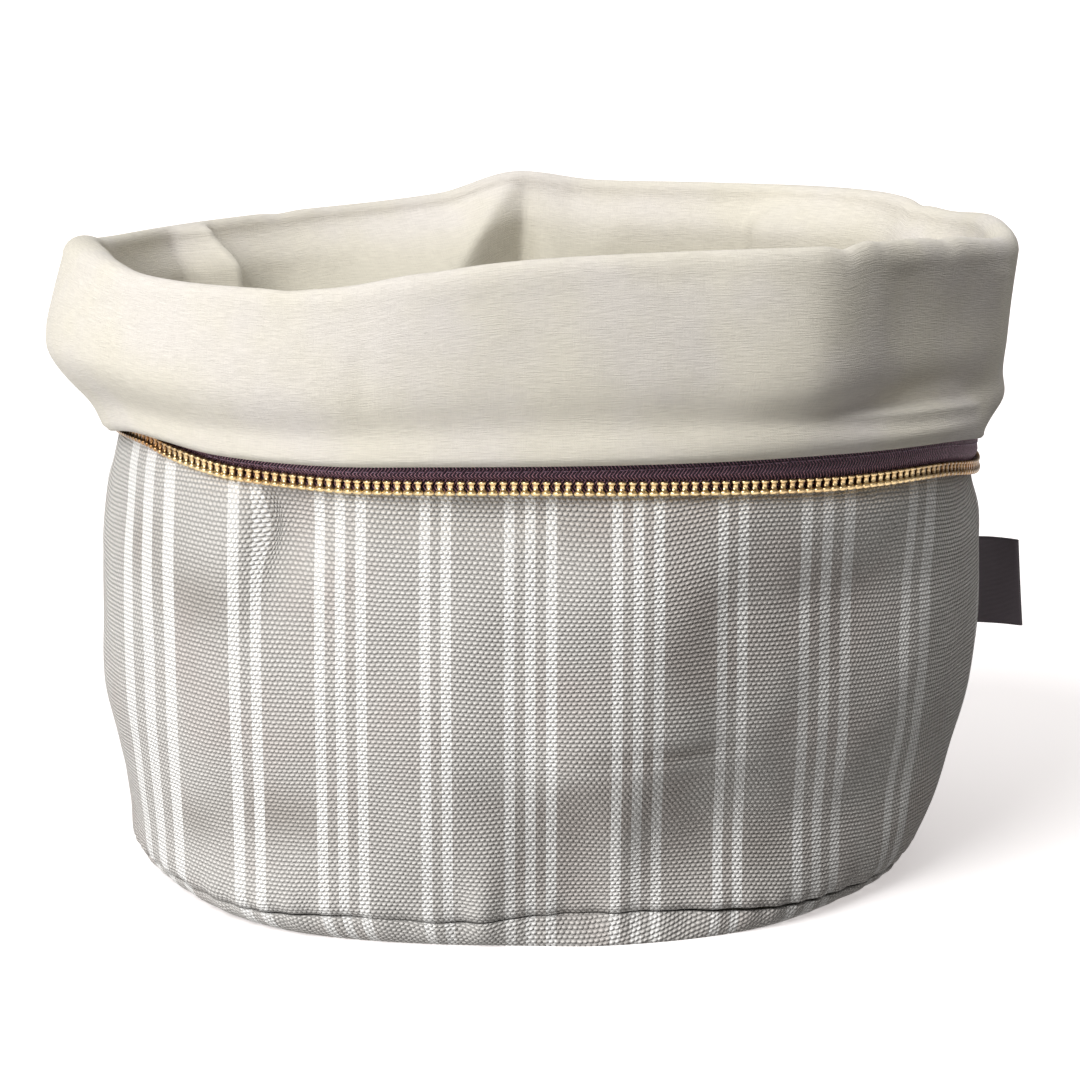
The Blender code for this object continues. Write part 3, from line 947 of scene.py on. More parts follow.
def wall_section(angle):
    """Points up the outer face and down the inner one, with the stripes' lean."""
    low, top = edge_height(angle, SEAM) + GAP, wall_top(angle)
    shown = int((SHOWN_TOP - LOWEST_SEAM) / WALL_ROW)
    heights = [low + (SHOWN_TOP - low) * i / shown for i in range(shown)]
    heights += [SHOWN_TOP + (top - SHOWN_TOP) * i / HIDDEN_ROWS for i in range(HIDDEN_ROWS + 1)]
    leaning = [(upright(angle, height), height) for height in heights]
    outer = [(turn, wall_surface(turn, height), height) for turn, height in leaning]
    inner = [outer[i] for i in range(len(outer) - 1, -1, -1) if i % 8 == 0 or i == len(outer) - 1]
    section = [place(*point) for point in outer]
    section += [place(turn, radius - WALL_THICK, height) for turn, radius, height in inner]
    return section


def angles_round(count):
    """Even angles once round the bag, from the back."""
    return [-HALF_TURN + FULL_TURN * i / count for i in range(count)]


wall_angles = angles_round(COLUMNS)
wall_sections = [wall_section(angle) for angle in wall_angles]
WALL_LENGTH = 0.660
wall = ring_sheet("canvas_wall_cloth", wall_sections, WALL_LENGTH, canvas, "canvas_wall")
carry_stripes(wall, wall_sections, wall_angles)
carry_stains_and_shade(wall)

# %% [markdown]
# ## The canvas base
# The base is a disc of the same canvas. Its edge is turned up to meet the wall at a seam that
# wanders a few millimetres above the table, so a narrow striped band shows under the wall. A circle
# could be filled and extruded, but its edge has to follow the wavy seam, so it is a section too, run
# round and closed in the middle. The turned-up edge is a short bent curve through three points.

# %% The canvas base
BASE_COLUMNS = 360
FLOOR_RINGS = 12
LIP_ROWS = 6
LIP_ABOVE = 0.0012  # the lip's top takes the wall's radius from this far above the seam
LIP_BULGE = 0.0006


def base_outline(angle):
    return side_mix(angle, *BASE_OUTLINE[1:]) + swell(WALL_FOLDS, angle, 0.0)


def base_profile(angle):
    """The underside's edge and the turned-up lip, as radius and height."""
    seam = edge_height(angle, SEAM)
    flat, lip = base_outline(angle), wall_surface(angle, seam + LIP_ABOVE) - BASE_INSET
    bend, bend_height = flat + BASE_BEND * (lip - flat), BASE_BEND_RISE * seam
    points = []
    for i in range(LIP_ROWS + 1):
        share = i / LIP_ROWS
        keep = (1 - share) ** 2
        push = 2 * share * (1 - share)
        points.append((keep * flat + push * (bend + LIP_BULGE) + share**2 * lip,
                       push * bend_height * 0.9 + share**2 * seam))
    return points


def base_section(angle):
    turn = upright(angle, 0.004)
    lip = base_profile(turn)
    below = [place(turn, lip[0][0] * (i / FLOOR_RINGS) ** 0.8, 0.0) for i in range(1, FLOOR_RINGS)]
    outer = [place(turn, radius, height) for radius, height in lip]
    top = [place(turn, lip[-1][0] - BASE_THICK * 0.7, lip[-1][1] + 0.0001)]
    top += [place(turn, radius - BASE_THICK, max(height, BASE_THICK)) for radius, height in lip[::-1][1:]]
    above = [place(turn, lip[0][0] * share, BASE_THICK) for share in (0.9, 0.6, 0.3)]
    return below + outer + top + above


def disc_sheet(name, sections, outer_rows, finish, node):
    """Like ring_sheet, but closed across the middle below and above."""
    columns, rows = len(sections), len(sections[0])
    points = [point for section in sections for point in section]
    points += [(0.0, 0.0, sections[0][0][2]), (0.0, 0.0, sections[0][-1][2])]
    faces = []
    for column in range(columns):
        near, far = column * rows, (column + 1) % columns * rows
        faces.append((len(points) - 2, far, near))
        faces.append((len(points) - 1, near + rows - 1, far + rows - 1))
        for row in range(rows - 1):
            faces.append((near + row, far + row, far + row + 1, near + row + 1))
    piece = new_piece(name, points, faces, finish, node)
    along = [(0.0, 0.0)] * len(points)
    for column, section in enumerate(sections):
        reach, last = 0.0, Vector(points[-2])
        for row, point in enumerate(section):
            reach += (Vector(point) - last).length
            last = Vector(point)
            way = max(sqrt(point[0] ** 2 + point[1] ** 2), 1e-6)
            reach = reach if row < outer_rows else way
            along[column * rows + row] = (point[0] / way * reach, point[1] / way * reach)
    store_map(piece.data, [part for loop in piece.data.loops for part in along[loop.vertex_index]])
    face_outwards(piece)
    print(name, "has", 2 * columns * rows, "triangles")
    return piece


base_angles = angles_round(BASE_COLUMNS)
base_sections = [base_section(angle) for angle in base_angles]
OUTER_ROWS = FLOOR_RINGS + LIP_ROWS
base = disc_sheet("canvas_base_cloth", base_sections, OUTER_ROWS, canvas, "canvas_base")
carry_stripes(base, base_sections, base_angles)
carry_stains_and_shade(base)

# %% [markdown]
# ## Cream cotton
# The lining is a light plain cotton. Its threads are too fine to see one by one: what shows is a
# faint grain of thicker threads, mostly along the weft, and a soft warm white. Noise stretched along
# the threads gives that grain, and a fine weave adds a little bump. Inside the mouth the cotton is
# warmer and painted darker, as painted shade, so the map's warp tints it from the rim on.

# %% Cream cotton finish
COTTON_WARM = (0.735, 0.690, 0.590, 1)
COTTON_COOL = (0.735, 0.690, 0.635, 1)
COTTON_INSIDE_SHADE = (0.585, 0.549, 0.455, 1)
RIM_STARTS, RIM_ENDS = 0.058, 0.076  # metres of cotton from the hem


def cotton_finish():
    finish, tree, shader = new_finish("cream_cotton_cloth", roughness=0.88, sheen=0.15)
    cloth, weft, warp = cloth_map(tree)
    spot = object_place(tree)
    along = noise(tree, stretched(tree, cloth, (240, 3600, 1)), 1.0, 2.0, 0.6)
    across = noise(tree, stretched(tree, cloth, (3200, 240, 1)), 1.0, 2.0, 0.6)
    grain = maths(tree, "MULTIPLY_ADD", along, 0.72, maths(tree, "MULTIPLY", across, 0.28))
    grain = between(tree, grain, 0.30, 0.66)
    cloud = noise(tree, spot, 34.0, 3.0)
    tint = mixed(tree, between(tree, cloud, 0.35, 0.7), COTTON_WARM, COTTON_COOL)
    # painted shade: inside the mouth, from the rim on, the cotton is tinted darker, and warmer
    inside = between(tree, warp, RIM_STARTS, RIM_ENDS)
    tint = mixed(tree, inside, tint, COTTON_INSIDE_SHADE)
    tone = maths(tree, "MULTIPLY_ADD", grain, 0.13, 0.88)
    wire(tree, mixed(tree, 1.0, tint, tone, "MULTIPLY"), shader.inputs["Base Color"])
    fine = plain_weave(tree, weft, warp, 0.00060, 0.00036)
    height = maths(tree, "MULTIPLY_ADD", fine, 0.30, grain)
    raise_surface(tree, shader, height, 0.00010, 0.8)
    return finish


cotton = cotton_finish()
print("cotton finish has", len(cotton.node_tree.nodes), "nodes")

# %% [markdown]
# ## Folds inside the mouth
# Inside, the lining hangs in a few deep folds. One falls from the peak of the rim at the back: a
# sharp valley with a steep flank to its left that widens as it goes down. Another stands out on the
# left like a pillar, with a curved fold beside it. Bell curves would make these too round, so each
# has a small function of its own that says how far the cloth swells inwards at a place.

# %% Folds inside the mouth
CREST_DOWN = 0.0030
VALLEY_AT, PILLAR_AT, PLEAT_AT = -177.5, -126.0, 141.0
CREST_HALF = (
    # angle, half the thickness of the folded rim
    (-180.0, 0.0023),
    (-118.0, 0.0023),
    (-104.0, 0.0034),
    (-90.0, 0.0046),
    (-72.0, 0.0047),
    (-62.0, 0.0036),
    (-52.0, 0.0025),
    (40.0, 0.0025),
    (50.0, 0.0032),
    (75.0, 0.0036),
    (100.0, 0.0036),
    (122.0, 0.0028),
    (140.0, 0.0023),
    (180.0, 0.0023),
)


def crest_half(angle):
    return smooth_value(CREST_HALF, around(angle), 1)


def back_valley(angle, below):
    """Inward swelling of the back left panel, whose steep flank falls from the rim's peak.

    The flank widens as it goes down, so the panel's ridge runs down and to the left.
    """
    left = around(angle - VALLEY_AT)
    depth = min(max(below / 0.023, 0.0), 1.05)
    if left < 0:
        return 0.0105 * (1 - exp(left / 2.6)) * exp(-((left / 18.0) ** 2)) * ease(below / 0.026)
    flank = 1.6 + 18.0 * depth
    swelling = 0.0008 + 0.0320 * depth
    share = left / flank
    if share < 1:
        return swelling * (1.12 * share - 0.12 * share**6)
    return swelling * (1 - ease((left - flank) / (48.0 - flank)) ** 0.8)


def left_pillar(angle, below):
    """The pillar at the left: a bright face turned to the front and a flank that widens downwards."""
    depth = ease((below + 0.006) / 0.014)
    away = around(angle - PILLAR_AT)
    swelling = 0.0030 + 0.0085 * depth
    if away >= 0:
        return swelling * max(0.0, 1 - away / 5.0) ** 0.95
    flank = 3.0 + 14.0 * min(max(below / 0.022, 0.0), 1.2)
    return swelling * max(0.0, 1 + away / flank) ** 1.4


def right_pleat(angle, below):
    """A soft pleat at the right, brighter past its curved edge."""
    depth = ease((below + 0.003) / 0.012)
    away = around(angle - PLEAT_AT - 4.0 * depth)
    spread = 2.4 if away > 0 else 12.0
    return (0.0006 + 0.0034 * depth) * exp(-(abs(away / spread) ** 1.7))


def fade_down(below, length):
    """Folds of the mouth die away further down."""
    return 1 - ease((below - 0.03) / length)


def mouth_folds(angle, below):
    folds = back_valley(angle, below) + left_pillar(angle, below) + right_pleat(angle, below)
    return folds * fade_down(below, 0.105)


def lining_surface(angle, height):
    """Inner face of the lining, which leans out to the rim's crest near the top."""
    below = edge_height(angle, RIM) - CREST_DOWN - height
    wall_here = min(wall_radius(angle, height), wall_surface(angle, height))
    inside = wall_here - WALL_THICK - GAP - LINING_THICK
    share = ease(below / 0.010)
    inside = share * inside + (1 - share) * (cuff_radius(angle, 1.0) - 2 * crest_half(angle))
    inside -= swell(LINING_FOLDS, angle, height) * ease((below + 0.002) / 0.008)
    inside -= mouth_folds(angle, below)
    return inside - unevenness(angle, height, 0.00035) * ease(below / 0.02)


print("valley at the back is", round(back_valley(-165.0, 0.02) * 1000, 1), "mm deep on its left")

# %% [markdown]
# ## Cuff and lining
# Cuff and lining are one piece of cotton: up from the hem, over the rim in a soft roll, and down
# inside to the base, where its foot turns in over the floor. Two pieces joined at the rim would show
# a step, so one section goes all the way. Where the roll meets the folds inside, its radius eases
# into theirs. The hidden face behind has fewer rows, except where the cloth curves strongly: there a
# long straight face would cut through the shown one. In a few spots inside the front it still does,
# by less than a millimetre.

# %% Cuff and lining
CUFF_ROWS = 40
ROLL_ROWS = 12
MOUTH_ROWS = 26
MOUTH_DEEP = 0.032
DEEP_ROWS = 26
HEM_ROUND = 0.0010
CUFF_THICK = 0.0011
LEAST_STEP = 0.0004  # the lining's foot turns in by at least this much a row
PINCHES = (
    # angle, spread, drop of the rim
    (36.0, 1.6, 0.0010),
    (40.5, 1.4, -0.0005),
    (58.0, 2.0, 0.0006),
    (-12.0, 3.0, 0.0003),
    (-31.0, 2.5, 0.0004),
    (120.0, 1.8, 0.0008),
    (-141.0, 2.0, 0.0005),
)


def pinch(angle):
    """Small dips where the rim is pinched."""
    return sum(drop * exp(-((around(angle - at) / spread) ** 2)) for at, spread, drop in PINCHES)


def cuff_section(angle):
    """Hem, cuff, roll and lining down to its floor, then the hidden face back to the hem."""
    thick = CUFF_THICK
    shown, hidden = [], []
    hem = cuff_height(angle, 0.0)
    foot = cuff_radius(angle, 0.0)
    for turn in (-60.0, -20.0):
        out, up = cos(radians(turn)), sin(radians(turn))
        shown.append((foot - HEM_ROUND + HEM_ROUND * out, hem + HEM_ROUND + HEM_ROUND * up))
    for i in range(CUFF_ROWS + 1):
        rise = 0.03 + 0.97 * i / CUFF_ROWS
        radius, height = cuff_radius(angle, rise), cuff_height(angle, rise) - pinch(angle) * rise**3
        shown.append((radius, height))
        if i % 4 == 0:
            hidden.append((radius - thick, height))
    half = crest_half(angle)
    crest = cuff_radius(angle, 1.0) - half
    top = edge_height(angle, RIM) - pinch(angle)
    inner = crest - lining_surface(angle, top - CREST_DOWN)
    for i in range(1, ROLL_ROWS + 1):
        turn = HALF_TURN * i / ROLL_ROWS
        out, up = cos(radians(turn)), sin(radians(turn))
        reach, drop = (half, ROLL) if out > 0 else (inner, CREST_DOWN)
        shown.append((crest + reach * out, top - drop * (1 - up)))
        if i % 3 == 0:
            hidden.append((crest + (reach - thick) * out, top - thick - (drop - thick) * (1 - up)))
    start, end = top - CREST_DOWN - MOUTH_DEEP, edge_height(angle, SEAM) + GAP
    mouth = [(top - CREST_DOWN - MOUTH_DEEP * i / MOUTH_ROWS, i % 2 == 0) for i in range(1, MOUTH_ROWS + 1)]
    deep = [(start + (end - start) * i / DEEP_ROWS, i % 5 == 0 or i > DEEP_ROWS - 8)
            for i in range(1, DEEP_ROWS + 1)]
    for height, both_faces in mouth + deep:
        radius = lining_surface(angle, height)
        shown.append((radius, height))
        if both_faces:
            hidden.append((radius + thick, height))
    edge = lining_surface(angle, end)
    for radius, height in base_profile(angle)[::-1][1:]:
        edge = min(radius - BASE_THICK - GAP - thick, edge - LEAST_STEP)
        height = max(height, BASE_THICK) + GAP
        shown.append((edge, height + thick))
        hidden.append((edge + thick, height))
    hidden.insert(0, (foot - thick, hem + 0.4 * HEM_ROUND))
    return [place(angle, *point) for point in shown + hidden[::-1]]


cuff_sections = [cuff_section(angle) for angle in wall_angles]
CUFF_LENGTH = 0.690
cuff = ring_sheet("cotton_cuff_and_lining", cuff_sections, CUFF_LENGTH, cotton, "lining_cuff")

# %% [markdown]
# ## The lining's floor
# A disc of the same cotton lies in the base, sewn to the lining's foot. It is seen only from above.
# A filled circle would be enough for its shape, but as a section run round, like the base, it gets
# a thickness and lies a little unevenly.

# %% The lining's floor
FLOOR_THICK = 0.0020
FLOOR_SEAM = 0.0017  # how far the floor's edge stays inside the lining's foot
FLOOR_WAVE = 0.0003
FLOOR_COLUMNS = 180


def floor_section(angle):
    edge = base_outline(angle) - BASE_THICK - FLOOR_SEAM
    low = BASE_THICK + GAP
    top = low + FLOOR_THICK
    under = [place(angle, edge * share, low) for share in (0.3, 0.6, 0.9)]
    rim = [place(angle, edge, low), place(angle, edge, top)]
    over = []
    for share in (0.94, 0.86, 0.76, 0.64, 0.5, 0.36, 0.2, 0.1):
        lift = FLOOR_WAVE * sin(radians(angle) * 3 + share * 9) * (1 - share)
        over.append(place(angle, edge * share, top + lift))
    return under + rim + over


floor_sections = [floor_section(angle) for angle in angles_round(FLOOR_COLUMNS)]
lining_floor = disc_sheet("cotton_floor", floor_sections, 4, cotton, "lining_floor")

# %% [markdown]
# ## Zip tape
# The tape is woven in a herringbone of dark plum yarn that catches pinkish light. Its lower edge has
# a thin cord, which the teeth grip. A ribbon bent along a curve would sink into the wall's folds, so
# the tape is a ring that takes its radius from the solid wall's face at every angle. The herringbone
# is a sine of the weft that slants one way and then the other along the warp.

# %% Zip tape
PLUM_DARK, PLUM_LIT = (0.024, 0.007, 0.020, 1), (0.80, 0.42, 0.54, 1)
BONE_WIDE, RIB_PITCH = 0.0015, 0.00088
TAPE_LENGTH = 0.660
CORD_TALL = 0.0030  # the part of the tape that lies behind the teeth


def tape_finish():
    finish, tree, shader = new_finish("plum_tape_cloth", roughness=0.70, sheen=0.0)
    _, weft, warp = cloth_map(tree)
    spot = object_place(tree)
    zigzag = maths(tree, "PINGPONG", warp, BONE_WIDE)
    slant = maths(tree, "MULTIPLY_ADD", zigzag, 0.8, weft)
    ribs = maths(tree, "SINE", maths(tree, "MULTIPLY", slant, 2 * pi / RIB_PITCH))
    fuzz = noise(tree, spot, 2600.0, 2.0)
    ribs = maths(tree, "ADD", ribs, maths(tree, "MULTIPLY_ADD", fuzz, 1.4, -0.7))
    lit = between(tree, ribs, 0.25, 1.2)
    wire(tree, mixed(tree, lit, PLUM_DARK, PLUM_LIT), shader.inputs["Base Color"])
    raise_surface(tree, shader, ribs, 0.00016, 0.9)
    return finish


plum = tape_finish()
TAPE_ROWS = (
    # share of the tape's shown height, stand-off from the wall
    (-1.0, 0.00030),
    (-0.7, 0.00046),
    (0.0, 0.00046),
    (0.06, 0.00130),
    (0.16, 0.00160),
    (0.30, 0.00145),
    (0.55, 0.00145),
    (0.80, 0.00145),
    (1.0, 0.00145),
)


def tape_section(angle):
    low = edge_height(angle, TEETH_LOW) + TEETH_TALL + GAP
    high = edge_height(angle, HEM) + TAPE_UNDER_CUFF
    outer, inner = [], []
    for share, stand_off in TAPE_ROWS:
        height = low + share * (CORD_TALL if share < 0 else high - low)
        outer.append((wall_face(angle, height) + stand_off * squeeze(angle), height))
        inner.append((wall_face(angle, height) + 0.00004, height))
    return [place(angle, *point) for point in outer + inner[::-2]]


tape_sections = [tape_section(angle) for angle in wall_angles]
tape = ring_sheet("zip_tape_cloth", tape_sections, TAPE_LENGTH, plum, "zip_tape")

# %% [markdown]
# ## The teeth's brass
# The teeth are brass with some tarnish. One flat gold would look like plastic, so a value kept on
# each point says how far out it is: the outer faces and heads get a painted highlight and the parts
# between them painted shade. Noise adds tarnish and breaks it up: where both are high the metal is
# bright and smooth, elsewhere dark and rough.

# %% The teeth's brass
BRASS_BRIGHT, BRASS_DARK = (0.86, 0.66, 0.36, 1), (0.10, 0.035, 0.010, 1)
BRASS_COPPER = (0.42, 0.19, 0.06, 1)


def brass_finish():
    finish, tree, shader = new_finish("worn_brass", roughness=0.34, metallic=1.0)
    spot = object_place(tree)
    # painted highlight on the teeth's outer faces and heads, painted shade further in
    shine_and_shade = named_value(tree, "shine_and_shade")
    grime = noise(tree, spot, 900.0, 3.0, 0.65)
    grime_and_shine = maths(tree, "MULTIPLY_ADD", grime, 0.55, maths(tree, "MULTIPLY", shine_and_shade, 0.72))
    colour = mixed(tree, between(tree, grime_and_shine, 0.28, 0.92), BRASS_DARK, BRASS_BRIGHT)
    tarnish = between(tree, noise(tree, spot, 46.0, 2.0), 0.45, 0.75)
    colour = mixed(tree, maths(tree, "MULTIPLY", tarnish, 0.5), colour, BRASS_COPPER)
    wire(tree, colour, shader.inputs["Base Color"])
    rough = maths(tree, "MULTIPLY_ADD", grime, 0.25, 0.20)
    wire(tree, rough, shader.inputs["Roughness"])
    return finish


brass = brass_finish()
print("brass finish has", len(brass.node_tree.nodes), "nodes")

# %% [markdown]
# ## One tooth
# A tooth is a small casting: a leg clamped on the tape and a wider head below. It could be cut from
# a block with a boolean, but a few extrusions are quicker and keep it to some thirty faces, which
# counts when there are nearly three hundred. A cube is the leg's middle. Its lower end is extruded
# four times to make the head and its upper end three times to make the clamp.

# %% One tooth
TOOTH_DEEP = 0.0017
TOOTH_MIDDLE = 0.00205
LEG_WIDE, LEG_TALL = 0.00098, 0.00130
HEAD_STEPS = (
    # drop, share of the width, share of the depth
    (-0.00016, 1.45, 1.2),
    (-0.00030, 1.45, 1.18),
    (-0.00045, 1.0, 1.0),
    (-0.00034, 0.62, 0.72),
)
CLAMP_STEPS = (
    (0.00012, 1.55, 1.25),
    (0.00042, 1.05, 1.05),
    (0.00026, 0.72, 0.72),
)


def select_faces(mesh, chosen):
    """Select faces by a test on their middle and normal, in edit mode."""
    bm = bmesh.from_edit_mesh(mesh)
    for face in bm.faces:
        face.select_set(chosen(face.calc_center_median(), face.normal))
    bmesh.update_edit_mesh(mesh)


def extrude_on(steps):
    """Extrude the selected end step by step, and resize it by shares each time."""
    for drop, across, deep in steps:
        bpy.ops.mesh.extrude_region_move(TRANSFORM_OT_translate={"value": (0.0, 0.0, drop)})
        bpy.ops.transform.resize(value=(across, deep, 1.0))


bpy.ops.object.select_all(action="DESELECT")
bpy.ops.mesh.primitive_cube_add(size=1.0, location=(0.0, TOOTH_DEEP / 2, TOOTH_MIDDLE))
tooth = bpy.context.object
tooth.name = "tooth_pattern"
tooth.scale = (LEG_WIDE, TOOTH_DEEP * 0.70, LEG_TALL)
bpy.ops.object.transform_apply(location=True, rotation=False, scale=True)
bpy.ops.object.mode_set(mode="EDIT")
bpy.ops.mesh.select_mode(type="FACE")
select_faces(tooth.data, lambda middle, normal: normal.z < -0.5)
extrude_on(HEAD_STEPS)
leg_top = TOOTH_MIDDLE + LEG_TALL / 2
select_faces(tooth.data, lambda middle, normal: normal.z > 0.5 and middle.z > leg_top - 0.0001)
extrude_on(CLAMP_STEPS)
bpy.ops.object.mode_set(mode="OBJECT")
tooth_heights = [round(v.co.z * 1000, 2) for v in tooth.data.vertices]
print("tooth:", len(tooth.data.polygons), "faces, from", min(tooth_heights), "to", max(tooth_heights), "mm")

# %% [markdown]
# ## The row of teeth
# The row is the tooth copied every 2.36 mm round the bag, each copy turned to the wall there and a
# hair crooked, as teeth are once a zip has been bent. An array along a curve would stretch the last
# gap, so the way round is measured first and divided evenly. All copies are joined into one mesh.

# %% The row of teeth
TOOTH_PITCH = 0.00236
HEAD_TOP = 0.0012  # the head is below this height on a tooth, and gets the most painted highlight
SIDE_STARTS, SIDE_FADE, SIDE_SHADE = 42, 22, 0.72  # towards the sides of the bag the teeth are painted darker, as painted shade


def teeth_point(angle):
    """Middle of the back of the row, and its height."""
    height = edge_height(angle, TEETH_LOW)
    face = wall_face(angle, height + TEETH_TALL / 2)
    return Vector(place(angle, face + TAPE_STAND_OFF * squeeze(angle), height))


def even_steps(path, pitch):
    """Angles at even distances along a path round the bag, as near the pitch as fits."""
    fine = [-HALF_TURN + 0.25 * i for i in range(int(4 * FULL_TURN) + 1)]
    spots = [path(angle) for angle in fine]
    lengths = [0.0]
    for a, b in zip(spots, spots[1:]):
        lengths.append(lengths[-1] + (b - a).length)
    count = round(lengths[-1] / pitch)
    found, i = [], 0
    for n in range(count):
        target = lengths[-1] * n / count
        while lengths[i + 1] < target:
            i += 1
        share = (target - lengths[i]) / (lengths[i + 1] - lengths[i])
        found.append(fine[i] + share * (fine[i + 1] - fine[i]))
    return found, lengths[-1]


def frame_at(path, angle):
    """A matrix whose X runs along the path, Y points into the bag's outside and Z is across it."""
    along = (path(angle + 0.2) - path(angle - 0.2)).normalized()
    out = Vector(place(angle, 1.0, 0.0))
    up = along.cross(-out).normalized()
    if up.z < 0:
        up = -up
    out = up.cross(along).normalized()
    if out.dot(Vector(place(angle, 1.0, 0.0))) < 0:
        out = -out
    turn = Matrix((along, out, up)).transposed()
    return Matrix.Translation(path(angle)) @ turn.to_4x4()


def copies_along(pattern, name, path, angles, finish, node):
    """Copy a small pattern along a path and join the copies into one mesh."""
    verts = [v.co.copy() for v in pattern.data.vertices]
    polygons = [tuple(p.vertices) for p in pattern.data.polygons]
    points, faces = [], []
    for n, angle in enumerate(angles):
        matrix = frame_at(path, angle)
        jitter = Matrix.Rotation(0.05 * sin(n * 12.9898) + 0.02 * sin(n * 4.1), 4, "Z")
        matrix = matrix @ jitter @ Matrix.Diagonal((1.0, squeeze(angle), 1.0, 1.0))
        start = len(points)
        points += [tuple(matrix @ vert) for vert in verts]
        faces += [tuple(start + i for i in polygon) for polygon in polygons]
    piece = new_piece(name, points, faces, finish, node)
    face_outwards(piece)
    return piece


tooth_angles, row_length = even_steps(teeth_point, TOOTH_PITCH)
teeth = copies_along(tooth, "zip_teeth_row", teeth_point, tooth_angles, brass, "zip_teeth")
shine_and_shade_values = []
for angle in tooth_angles:
    # painted shade: teeth towards the sides of the bag are darkened
    side_lightness = 1 - SIDE_SHADE * ease((abs(around(angle)) - SIDE_STARTS) / SIDE_FADE)
    for v in tooth.data.vertices:
        # painted highlight: outer faces and heads are brighter; painted shade further in
        shine_and_shade = 0.15 + 0.85 * v.co.y / TOOTH_DEEP + (0.5 if v.co.z < HEAD_TOP else 0.0)
        shine_and_shade_values.append(side_lightness * min(1.0, shine_and_shade))
carry_value(teeth, "shine_and_shade", shine_and_shade_values)
bpy.data.objects.remove(tooth)
print(len(tooth_angles), "teeth in a row", round(row_length * 1000), "mm long")

# %% [markdown]
# ## Stitches on the tape
# A row of small light stitches holds the tape just under the hem. A bump line would vanish when seen
# from close by, so one stitch is modelled, a thin cylinder whose ends dip into the cloth, and copied
# along the hem like the teeth. Only the stitches where the tape is wide enough to show are made.

# %% Stitches on the tape
def thread_finish(name, colour):
    finish, tree, shader = new_finish(name, roughness=0.6, sheen=0.3)
    spot = object_place(tree)
    twist = noise(tree, spot, 5200.0, 1.0)
    wire(tree, mixed(tree, twist, (*[0.6 * c for c in colour], 1), (*colour, 1)), shader.inputs["Base Color"])
    raise_surface(tree, shader, twist, 0.00005)
    return finish


lilac_thread = thread_finish("lilac_thread", (0.46, 0.28, 0.40))
STITCH_PITCH = 0.00215
STITCH_DROP = 0.00150
STITCH_LONG, STITCH_ROUND, STITCH_END = 0.0013, 0.00016, 0.00018
STITCH_SINK = -0.00008


def stitch_point(angle):
    height = edge_height(angle, HEM) - STITCH_DROP
    return Vector(place(angle, wall_face(angle, height) + 0.0015 * squeeze(angle), height))


bpy.ops.object.select_all(action="DESELECT")
turned = (0.0, pi / 2, 0.0)
bpy.ops.mesh.primitive_cylinder_add(vertices=6, radius=STITCH_ROUND, depth=STITCH_LONG, rotation=turned)
stitch = bpy.context.object
stitch.name = "stitch_pattern"
bpy.ops.object.transform_apply(location=True, rotation=True, scale=True)
bpy.ops.object.mode_set(mode="EDIT")
bpy.ops.mesh.select_mode(type="FACE")
for side in (-1, 1):
    select_faces(stitch.data, lambda middle, normal: normal.x * side > 0.5)
    end = (STITCH_END * side, STITCH_SINK, 0.0)
    bpy.ops.mesh.extrude_region_move(TRANSFORM_OT_translate={"value": end})
    bpy.ops.transform.resize(value=(1.0, 0.45, 0.45))
bpy.ops.object.mode_set(mode="OBJECT")
stitch_angles, _ = even_steps(stitch_point, STITCH_PITCH)
wide_enough = [
    a for a in stitch_angles
    if edge_height(a, HEM) - edge_height(a, TEETH_LOW) - TEETH_TALL > STITCH_DROP + 0.0008
]
copies_along(stitch, "tape_stitches", stitch_point, wide_enough, lilac_thread, None)
bpy.data.objects.remove(stitch)
print(len(wide_enough), "stitches of", len(stitch_angles), "show")

# %% [markdown]
# ## Ribbon
# The label is a dark ribbon of fine, close threads that shine a little along the weft. The threads
# are a sine along the warp with stretched noise on top, which is enough at this size.

# %% Ribbon finish
RIBBON_DARK, RIBBON_LIT = (0.017, 0.008, 0.013, 1), (0.040, 0.023, 0.034, 1)
RIBBON_PITCH = 0.00032


def ribbon_finish():
    finish, tree, shader = new_finish("dark_ribbon_cloth", roughness=0.48, sheen=0.15)
    cloth, _, up = cloth_map(tree)
    threads = maths(tree, "SINE", maths(tree, "MULTIPLY", up, 2 * pi / RIBBON_PITCH))
    fuzz = noise(tree, stretched(tree, cloth, (500, 3000, 1)), 1.0, 2.0)
    height = maths(tree, "ADD", threads, fuzz)
    lit = between(tree, height, -0.2, 1.6)
    wire(tree, mixed(tree, lit, RIBBON_DARK, RIBBON_LIT), shader.inputs["Base Color"])
    raise_surface(tree, shader, height, 0.00004, 0.7)
    return finish


ribbon = ribbon_finish()
print("ribbon finish has", len(ribbon.node_tree.nodes), "nodes")

# %% [markdown]
# ## The label
# A short length of the ribbon is folded and caught in the side seam. It is bare. A thin box would
# hide that it is folded, so it is one loop of cloth: out along one face, round the fold and back
# along the other, with a ply's thickness, a slight curl and its outer end cut a little askew.

# %% The label
LABEL_ANGLE = 92.0
LABEL_WIDE = 0.0105
LABEL_TALL = 0.0218
LABEL_SHEAR = 0.0014
LABEL_THICK = 0.0012
LABEL_MIDDLE = 0.0700
LABEL_LEAN = 0.0010
LABEL_CURL = 0.0012
LABEL_ROWS = 24
LABEL_STEPS = 16
PLY = 0.00045


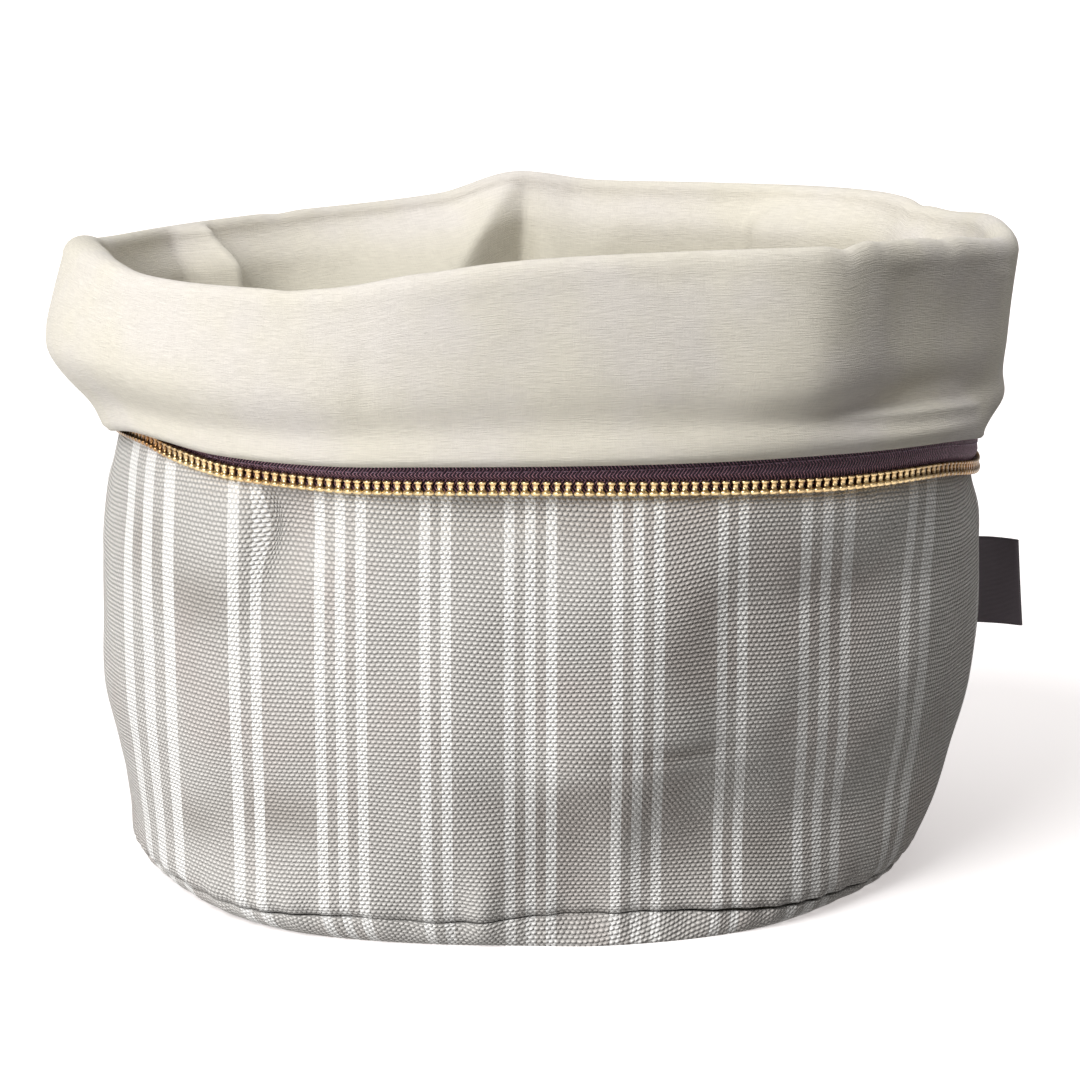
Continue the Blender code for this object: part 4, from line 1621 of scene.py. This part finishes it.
def label_point(share, up, side, inset):
    """A point of the loop: share of its width, share of its height, -1 front or 1 back."""
    height = LABEL_MIDDLE + LABEL_TALL * (up - 0.5)
    foot = (1 - share) * wall_face(LABEL_ANGLE, height) + share * wall_face(LABEL_ANGLE, LABEL_MIDDLE)
    bow = LABEL_CURL * sin(pi * share) + 0.0005 * sin(pi * up) * share
    half = max(LABEL_THICK / 2 - inset, 0.00004)
    fold = sqrt(max(0.0, 1 - max(0.0, (share - 0.93) / 0.07) ** 2))
    reach = foot + GAP + share * (LABEL_WIDE + LABEL_SHEAR * (1 - up))
    reach -= inset * ease((share - 0.9) / 0.1)
    x, y, z = place(LABEL_ANGLE, reach, height - LABEL_LEAN * share)
    return (x, y + bow + side * half * (0.35 + 0.65 * ease(share / 0.4)) * fold, z)


def label_loop(up, inset):
    """Once round the loop at one height."""
    out = [label_point(i / LABEL_STEPS, up, -1, inset) for i in range(LABEL_STEPS + 1)]
    back = [label_point(i / LABEL_STEPS, up, 1, inset) for i in range(LABEL_STEPS - 1, -1, -1)]
    return out + back


def make_label():
    """The loop's outer and inner faces, closed along its four cut edges."""
    steps = 2 * LABEL_STEPS + 1
    points, faces = [], []
    for inset in (0.0, PLY):
        for row in range(LABEL_ROWS + 1):
            points += label_loop(row / LABEL_ROWS, inset)
    inner = steps * (LABEL_ROWS + 1)
    for row in range(LABEL_ROWS):
        for a in range(row * steps, (row + 1) * steps - 1):
            faces.append((a, a + 1, a + 1 + steps, a + steps))
            faces.append((inner + a, inner + a + steps, inner + a + 1 + steps, inner + a + 1))
    for row in (0, LABEL_ROWS):
        for a in range(row * steps, (row + 1) * steps - 1):
            faces.append((a, inner + a, inner + a + 1, a + 1))
    for first in (0, steps - 1):
        for a in range(first, first + LABEL_ROWS * steps, steps):
            faces.append((a, a + steps, inner + a + steps, inner + a))
    piece = new_piece("ribbon_label", points, faces, ribbon, "label")
    flat = []
    for loop in piece.data.loops:
        row, i = divmod(loop.vertex_index % inner, steps)
        flat += (LABEL_WIDE * 2 * i / (steps - 1), LABEL_TALL * row / LABEL_ROWS)
    store_map(piece.data, flat)
    face_outwards(piece)
    return piece


label = make_label()
print("label stands out to", round(max(v.co.x for v in label.data.vertices) * 1000, 1), "mm")
